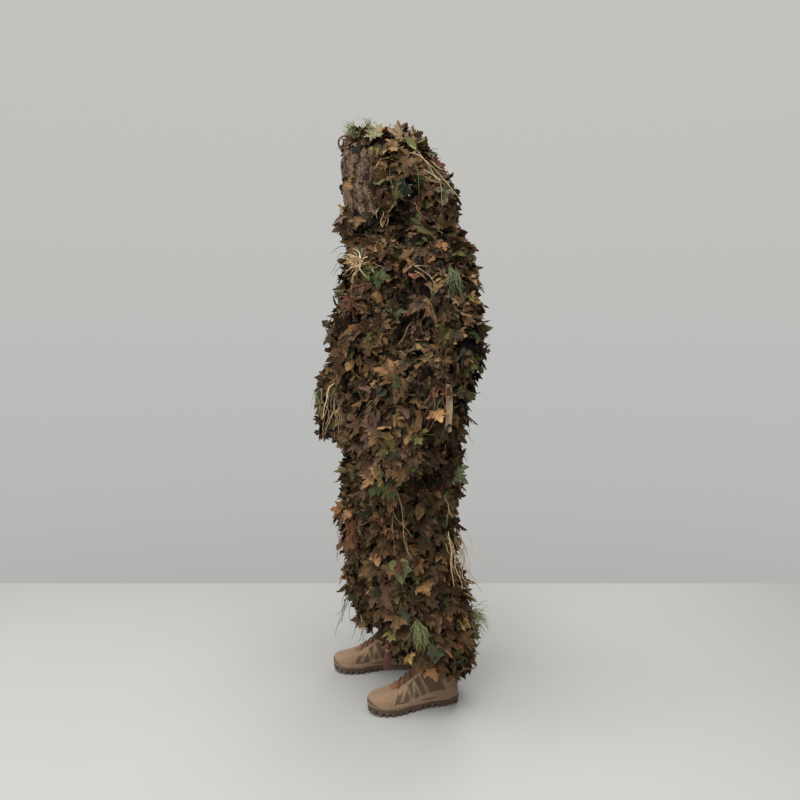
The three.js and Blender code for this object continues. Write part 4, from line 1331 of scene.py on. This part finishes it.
def sole_rings(table, count=176):
    """The rings of points of a sole."""
    turn, x = sole_outline(count)
    y = -SOLE_LENGTH * (1 - np.cos(turn)) / 2
    edge = np.stack([x, y], 1)
    along = np.roll(edge, -1, 0) - np.roll(edge, 1, 0)
    outward = unit(np.stack([-along[:, 1], along[:, 0]], 1))
    run = np.cumsum(np.linalg.norm(np.diff(edge, axis=0, append=edge[:1]), axis=1))
    share = -y / SOLE_LENGTH
    gap = (run / LUG_PITCH) % 1 < LUG_GAP
    arch = 0.0075 * np.exp(-((share - 0.40) / 0.085) ** 4)
    toe = 0.007 * np.clip((share - 0.88) / 0.12, 0, 1) ** 2
    rings = []
    for inset, height, gap_inset, gap_height, arch_share, toe_share in table:
        level = edge - outward * (inset + gap_inset * gap)[:, None]
        z = height + gap_height * gap + arch_share * arch + toe_share * toe
        rings.append(np.column_stack([level, z + toe_spring(y)]))
    return np.array(rings)


def closed_sole(rings):
    """Faces of a sole, with its bottom and top rings spanned from side to side."""
    rows, count = rings.shape[:2]
    top = (rows - 1) * count
    step = np.arange(1, count // 2 - 1)
    across = np.stack([step, step + 1, count - step - 1, count - step], 1)
    quads = np.concatenate([quad_faces(rows, count)[:, ::-1], across[:, ::-1], across + top])
    tips = [[0, count - 1, 1], [count // 2 - 1, count // 2 + 1, count // 2]]
    tips += [[a + top, c + top, b + top] for a, b, c in tips]
    return quads.tolist() + tips


def add_soles(side):
    for node, table, material, slot_name in (("outsole", OUTSOLE_RINGS, RUBBER, "rubber"),
                                             ("midsole", MIDSOLE_RINGS, FOAM, "foam")):
        rings = sole_rings(table)
        rows, count = rings.shape[:2]
        uv = grid_uv(np.linspace(0, 0.70, count), np.linspace(0, 0.03, rows))
        boot_piece(f"boot_{node}", side, rings, closed_sole(rings), material, slot_name, [node],
                   uv=uv, smooth=False)


def from_segment(y, z, start, end):
    """Distance in the side view from points to a line between two points."""
    run, rise = end[0] - start[0], end[1] - start[1]
    along = np.clip(((y - start[0]) * run + (z - start[1]) * rise) / (run ** 2 + rise ** 2), 0, 1)
    return np.hypot(y - start[0] - along * run, z - start[1] - along * rise)


def overlay_depth(points, front):
    """How far inside an overlay's edge each point of the upper is, in metres."""
    x, y, z = (points[..., k] for k in range(3))
    depth = np.maximum.reduce([
        -0.222 + 0.55 * (z - 0.040) - y,  # toe cap
        y + 0.062 + 0.45 * (z - 0.080),  # heel counter
        0.040 + 0.016 * np.clip((y + 0.18) / 0.08, 0, 1) - z,  # band above the sole
        *[width - from_segment(y, z, start, end) for start, end, width in STRAPS],
    ])
    throat = front & (z > THROAT_Z) & (np.abs(x) < THROAT + 0.004)
    depth = np.where(z > PADDING_Z, np.minimum(depth, PADDING_Z - z), depth)
    return np.where(throat, np.minimum(depth, np.abs(x) - THROAT), depth)


def add_upper(side):
    """The sewn upper, from the sole up, over the padded collar and down the lining."""
    count = 224
    turn, x = sole_outline(count)
    z = np.linspace(UPPER_RINGS[0][0], UPPER_RINGS[-1][0], 62)
    half, reach, middle = smooth_rows(UPPER_RINGS, z, passes=5)
    outside = len(z)
    rows = [(k, z[k], 0.0) for k in range(outside)]
    rows += [(outside - 1, height, inset) for height, inset in RIM_RINGS]
    rows += [(k, z[k], 0.0085) for k in range(outside - 4, 12, -5)]
    points = np.empty((len(rows), count, 3))
    widest = SOLE_STATIONS[5][1]
    for index, (k, height, inset) in enumerate(rows):
        oval = np.clip((z[k] - 0.052) / 0.052, 0, 1)
        width = half[k] * ((1 - oval) * x / widest + oval * np.sin(turn))
        shrink = 1 - inset / half[k]
        points[index, :, 0] = width * shrink
        points[index, :, 1] = middle[k] + (reach[k] - inset) * np.cos(turn)
        points[index, :, 2] = height + toe_spring(points[index, :, 1])
    skin = points[:outside]
    normal = outward_normals(skin, skin.mean(1, keepdims=True))
    front = np.broadcast_to(np.cos(turn) < -0.2, skin.shape[:2])
    depth = overlay_depth(skin, front)
    raised = np.clip(depth / 0.0022 + 0.5, 0, 1)
    bulge = 0.0030 * np.sin(np.pi * np.clip((skin[..., 2] - 0.130) / 0.022, 0, 1))
    sunk = 0.004 * (front & (skin[..., 2] > THROAT_Z) & (np.abs(skin[..., 0]) < THROAT))
    crease = 0.0007 * np.sin(skin[..., 1] * 520 + 3 * skin[..., 2] * 60) * np.exp(
        -((skin[..., 1] + 0.205) / 0.018) ** 2)
    points[:outside] += normal * (0.0016 * raised + bulge - sunk + crease)[..., None]
    tint = np.tile(COLLAR_TINT, (len(rows), count, 1))
    tint[:outside] = SUEDE_DARK + raised[..., None] * (SUEDE_LIGHT - SUEDE_DARK)
    tint[:outside][skin[..., 2] > PADDING_Z] = COLLAR_TINT
    seam = np.zeros((len(rows), count))
    seam[:outside] = np.exp(-((depth - 0.0030) / 0.0009) ** 2)
    faces = quad_faces(len(rows), count)[:, ::-1].tolist()
    uv = grid_uv(np.linspace(0, 0.62, count), np.linspace(0, 0.20, len(rows)))
    boot_piece("boot_upper", side, points, faces, SUEDE, "suede",
               ["upper", "toe_cap", "heel_counter"],
               uv=uv, tint=tint.reshape(-1, 4), line=seam.ravel())


def instep(height):
    """y of the boot's front line at a height."""
    table = np.array(UPPER_RINGS)
    return np.interp(height, table[:, 0], table[:, 3] - table[:, 2])


def add_tongue(side):
    """A padded strip up the instep, a little wider at its loose top end."""
    rows, count = 30, 24
    turn = np.linspace(0, 2 * np.pi, count, endpoint=False)
    height = np.linspace(0.068, 0.168, rows)[:, None]
    share = np.linspace(0, 1, rows)[:, None]
    rounded = np.sqrt(np.clip(1.02 - share ** 12, 0, 1))
    half = (0.0150 + 0.0070 * share) * rounded
    thick = 0.0035 * rounded + 0.0006 * np.cos(share * 60)
    x = half * np.cos(turn)
    y = instep(height) + 0.0015 + 5 * x ** 2 + thick * np.sin(turn)
    points = np.stack([x, y, np.broadcast_to(height, x.shape)], -1).reshape(-1, 3)
    faces = quad_faces(rows, count)[:, ::-1].tolist()
    faces += [list(range(count))[::-1], [(rows - 1) * count + k for k in range(count)]]
    uv = grid_uv(np.linspace(0, 0.08, count), np.linspace(0, 0.12, rows))
    obj = boot_piece("boot_tongue", side, points, faces, SUEDE_SMOOTH, "dark_suede", ["tongue"],
                     uv=uv, tint=np.tile(srgb(138, 88, 46), (len(points), 1)),
                     line=np.zeros(len(points)))


def add_laces(side):
    """Two ends of one lace that cross at each pair of eyelets, with a ring at each eyelet."""
    rng = np.random.default_rng(906)
    turns, rings = [], []
    for start in (1, -1):
        path = []
        for index in range(len(EYELETS) - 1):
            sign = start * (-1) ** index
            for share in np.linspace(0, 1, 9)[:-1]:
                height = EYELETS[index] + share * (EYELETS[index + 1] - EYELETS[index])
                lift = 0.0060 * math.sin(math.pi * share) + 0.0035
                path.append((sign * EYELET_X * (1 - 2 * share), instep(height) - lift + 0.003, height))
        turns.append(path)
        for height in EYELETS:
            angle = np.linspace(0, 2 * np.pi, 12)
            rings.append(np.stack([
                start * EYELET_X + 0.0030 * np.cos(angle),
                instep(height) + 0.0005 - 0.0012 * np.abs(np.cos(angle)),
                height + 0.0030 * np.sin(angle),
            ], 1))
    for name, paths, radius, material, slot_name, nodes, colour in (
        ("boot_laces", turns, 0.0019, LACE, "lace", ["lace"], (122, 98, 72)),
        ("boot_eyelets", rings, 0.0010, BRASS, "brass", [], (110, 90, 60)),
    ):
        strands = one_mesh(*tubes(np.array(paths), radius, 0.9, rng, taper=0.0), colour)
        strands["faces"] = strands["faces"].tolist()
        boot_piece(name, side, material=material, slot_name=slot_name, nodes=nodes, **strands)


def add_boots():
    for side in SIDES:
        add_soles(side)
        add_upper(side)
        add_tongue(side)
        add_laces(side)


def paint_nodes():
    """Gives the zip's and the insoles' CAD nodes the finishes that their materials' names call for."""
    finishes = {"brass": BRASS, "tape": tape_paint(), "foam": FOAM}
    for obj in bpy.data.objects:
        if obj.name.startswith(("zip", "insole")):
            for item in obj.material_slots:
                item.material = finishes[item.material.name.split(".")[0]]


# ---- the suit ---------------------------------------------------------------------------


def press_in_zip(skin):
    """Presses the front in to just behind the zip's tapes, along the strip that it runs in."""
    x, y, z = (skin.points[..., k] for k in range(3))
    low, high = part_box("zipper_tape_left")
    inside = (z > low[2] - 0.01) & (z < high[2] + 0.005) & (y < 0)
    edge = np.clip((np.abs(x) - ZIP_STRIP) / 0.012, 0, 1)
    limit = low[1] + 0.008 - 0.10 * edge
    skin.points[..., 1] = np.where(inside, np.maximum(y, limit), y)


def beside_zip(points):
    """False in the bare strip that the zip runs in."""
    low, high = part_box("zipper_tape_left")
    along = (points[:, 2] > low[2]) & (points[:, 2] < high[2]) & (points[:, 1] < 0)
    return ~(along & (np.abs(points[:, 0]) < ZIP_STRIP + 0.010))


def one_side(sign):
    """A test for points on one side of the suit's middle plane."""
    def chosen(points):
        return points[:, 0] * sign > -0.001

    return chosen


def one_leg(side):
    """A test for points on a leg's own side, and above the front of its boot."""
    sign, ankle = SIDES[side], joint_point(f"{side}_ankle")

    def chosen(points):
        ahead = np.clip(ankle[1] + 0.015 - points[:, 1], 0, 0.09)
        own_side = points[:, 0] * sign > LEG_GAP
        return own_side & (points[:, 2] > INSTEP_Z + INSTEP_SLOPE * ahead)

    return chosen


def add_torso():
    """The jacket's body, and its skirt as one piece for each leg."""
    skin = ring_skin(BODY_RINGS, COLLAR_Z, JACKET_HEM_Z, power=2.3).ruffle(0.012, 7.0, 3.1)
    press_in_zip(skin)
    skirt_row = int(np.argmin(np.abs(skin.centres[:, 2] - SKIRT_TOP_Z)))
    body = skin.rows(0, skirt_row + 1)
    nodes = [f"{part}_{side}" for part in ("jacket_front", "leaf_cover_front") for side in SIDES]
    lay_cloth("jacket_cloth", "torso", body, ["jacket_back", "leaf_cover_back", *nodes],
              seed=1.0)
    clothe("jacket_leaves", "torso", body, 11, beside_zip)
    for index, (side, sign) in enumerate(SIDES.items()):
        skirt = skin.rows(skirt_row - 1, len(skin.points))
        half = one_side(sign)
        lay_cloth(f"jacket_skirt_cloth_{side}", f"{side}_skirt", skirt,
                  ["trousers_seat", "waist_elastic"], keep=half, seed=2.0)
        clothe(f"jacket_skirt_leaves_{side}", f"{side}_skirt", skirt, 21 + index, half)


def add_limbs(kind):
    """Both arms or both legs, each as two pieces that meet halfway down its upper half."""
    top, middle, upper, lower, upper_node, lower_node, end_node = {
        "arm": ("shoulder", "elbow", UPPER_ARM, FOREARM, "upper_sleeve", "lower_sleeve", "cuff_elastic"),
        "leg": ("hip", "knee", THIGH, SHIN, "thigh", "shin", "ankle_elastic"),
    }[kind]
    for index, (side, sign) in enumerate(SIDES.items()):
        start, bend = joint_point(f"{side}_{top}"), joint_point(f"{side}_{middle}")
        if kind == "arm":
            end = node_box(f"cuff_elastic_{side}").mean(0)
            options = {"cap": SLEEVE_CAP, "past": SLEEVE_PAST_CUFF, "out": 0.0}
            keep = None
        else:
            end = joint_point(f"{side}_ankle")
            options = {"cap": 0.0, "past": -LEG_SHORT, "out": LEG_OUT * sign}
            keep = one_leg(side)
            start = start + unit(start - bend) * LEG_RISE
        hinge = hinge_line(f"{side}_{middle}")
        skin, s = limb_skin(start, bend, end, hinge, upper, lower, **options)
        skin.ruffle(0.012, 8.0, 5.3 + index)
        split = int(np.argmin(np.abs(s - LIMB_SPLIT * np.linalg.norm(bend - start))))
        for part, piece, node, more in (
            ("top", skin.rows(0, split + 1), upper_node, []),
            ("end", skin.rows(split - 1, len(s)), lower_node, [f"{end_node}_{side}"]),
        ):
            zone = f"{side}_{kind}_{part}"
            nodes = [f"{node}_{side}", f"{node}_leaf_cover_{side}", *more]
            lay_cloth(f"{zone}_cloth", zone, piece, nodes, seed=3.0 + index, keep=keep)
            seed = 100 + 10 * index + (part == "end") + 50 * (kind == "leg")
            clothe(f"{zone}_leaves", zone, piece, seed, keep)


def add_hood():
    z = [ring[0] for ring in HOOD_RINGS]
    skin = ring_skin(HOOD_RINGS, max(z), min(z), step=0.010, power=2.1).ruffle(0.010, 9.0, 8.2)

    def covered(points):
        return (points[:, 1] > FACE_Y) | (points[:, 2] > BROW_Z - 0.02)

    def outside_hollow(points):
        return covered(points) & (np.linalg.norm(points - HOLLOW, axis=1) > HOLLOW_RADIUS)

    lay_cloth("hood_cloth", "hood", skin, ["hood_shell", "hood_leaf_cover"],
              keep=covered, seed=4.0)
    clothe("hood_leaves", "hood", skin, 31, outside_hollow)


add_camera()
LEAF = leaf_paint()
CLOTH = cloth_paint()
BARK = bark_paint()
WOOD = wood_paint()
FIBRES = {name: fibre_paint(name) for name in ("raffia", "moss", "vine")}
SUEDE = suede_paint("suede", 0.9)
SUEDE_SMOOTH = suede_paint("dark_suede", 0.8)
RUBBER = rubber_paint("rubber", (84, 66, 53), (116, 98, 82))
FOAM = rubber_paint("foam", (96, 76, 61), (122, 102, 84))
BRASS = metal_paint()
LACE = fibre_paint("lace", 0.85)
add_floor()
add_world()
for light in LIGHTS:
    add_light(*light)
bpy.context.scene.view_settings.view_transform = "Standard"
add_torso()
add_limbs("arm")
add_limbs("leg")
add_hood()
add_veil()
add_veil_leaves()
add_accent_leaves()
add_garnish()
add_vine_loop()
add_jute_tassel()
add_wood_strip()
add_boots()
paint_nodes()
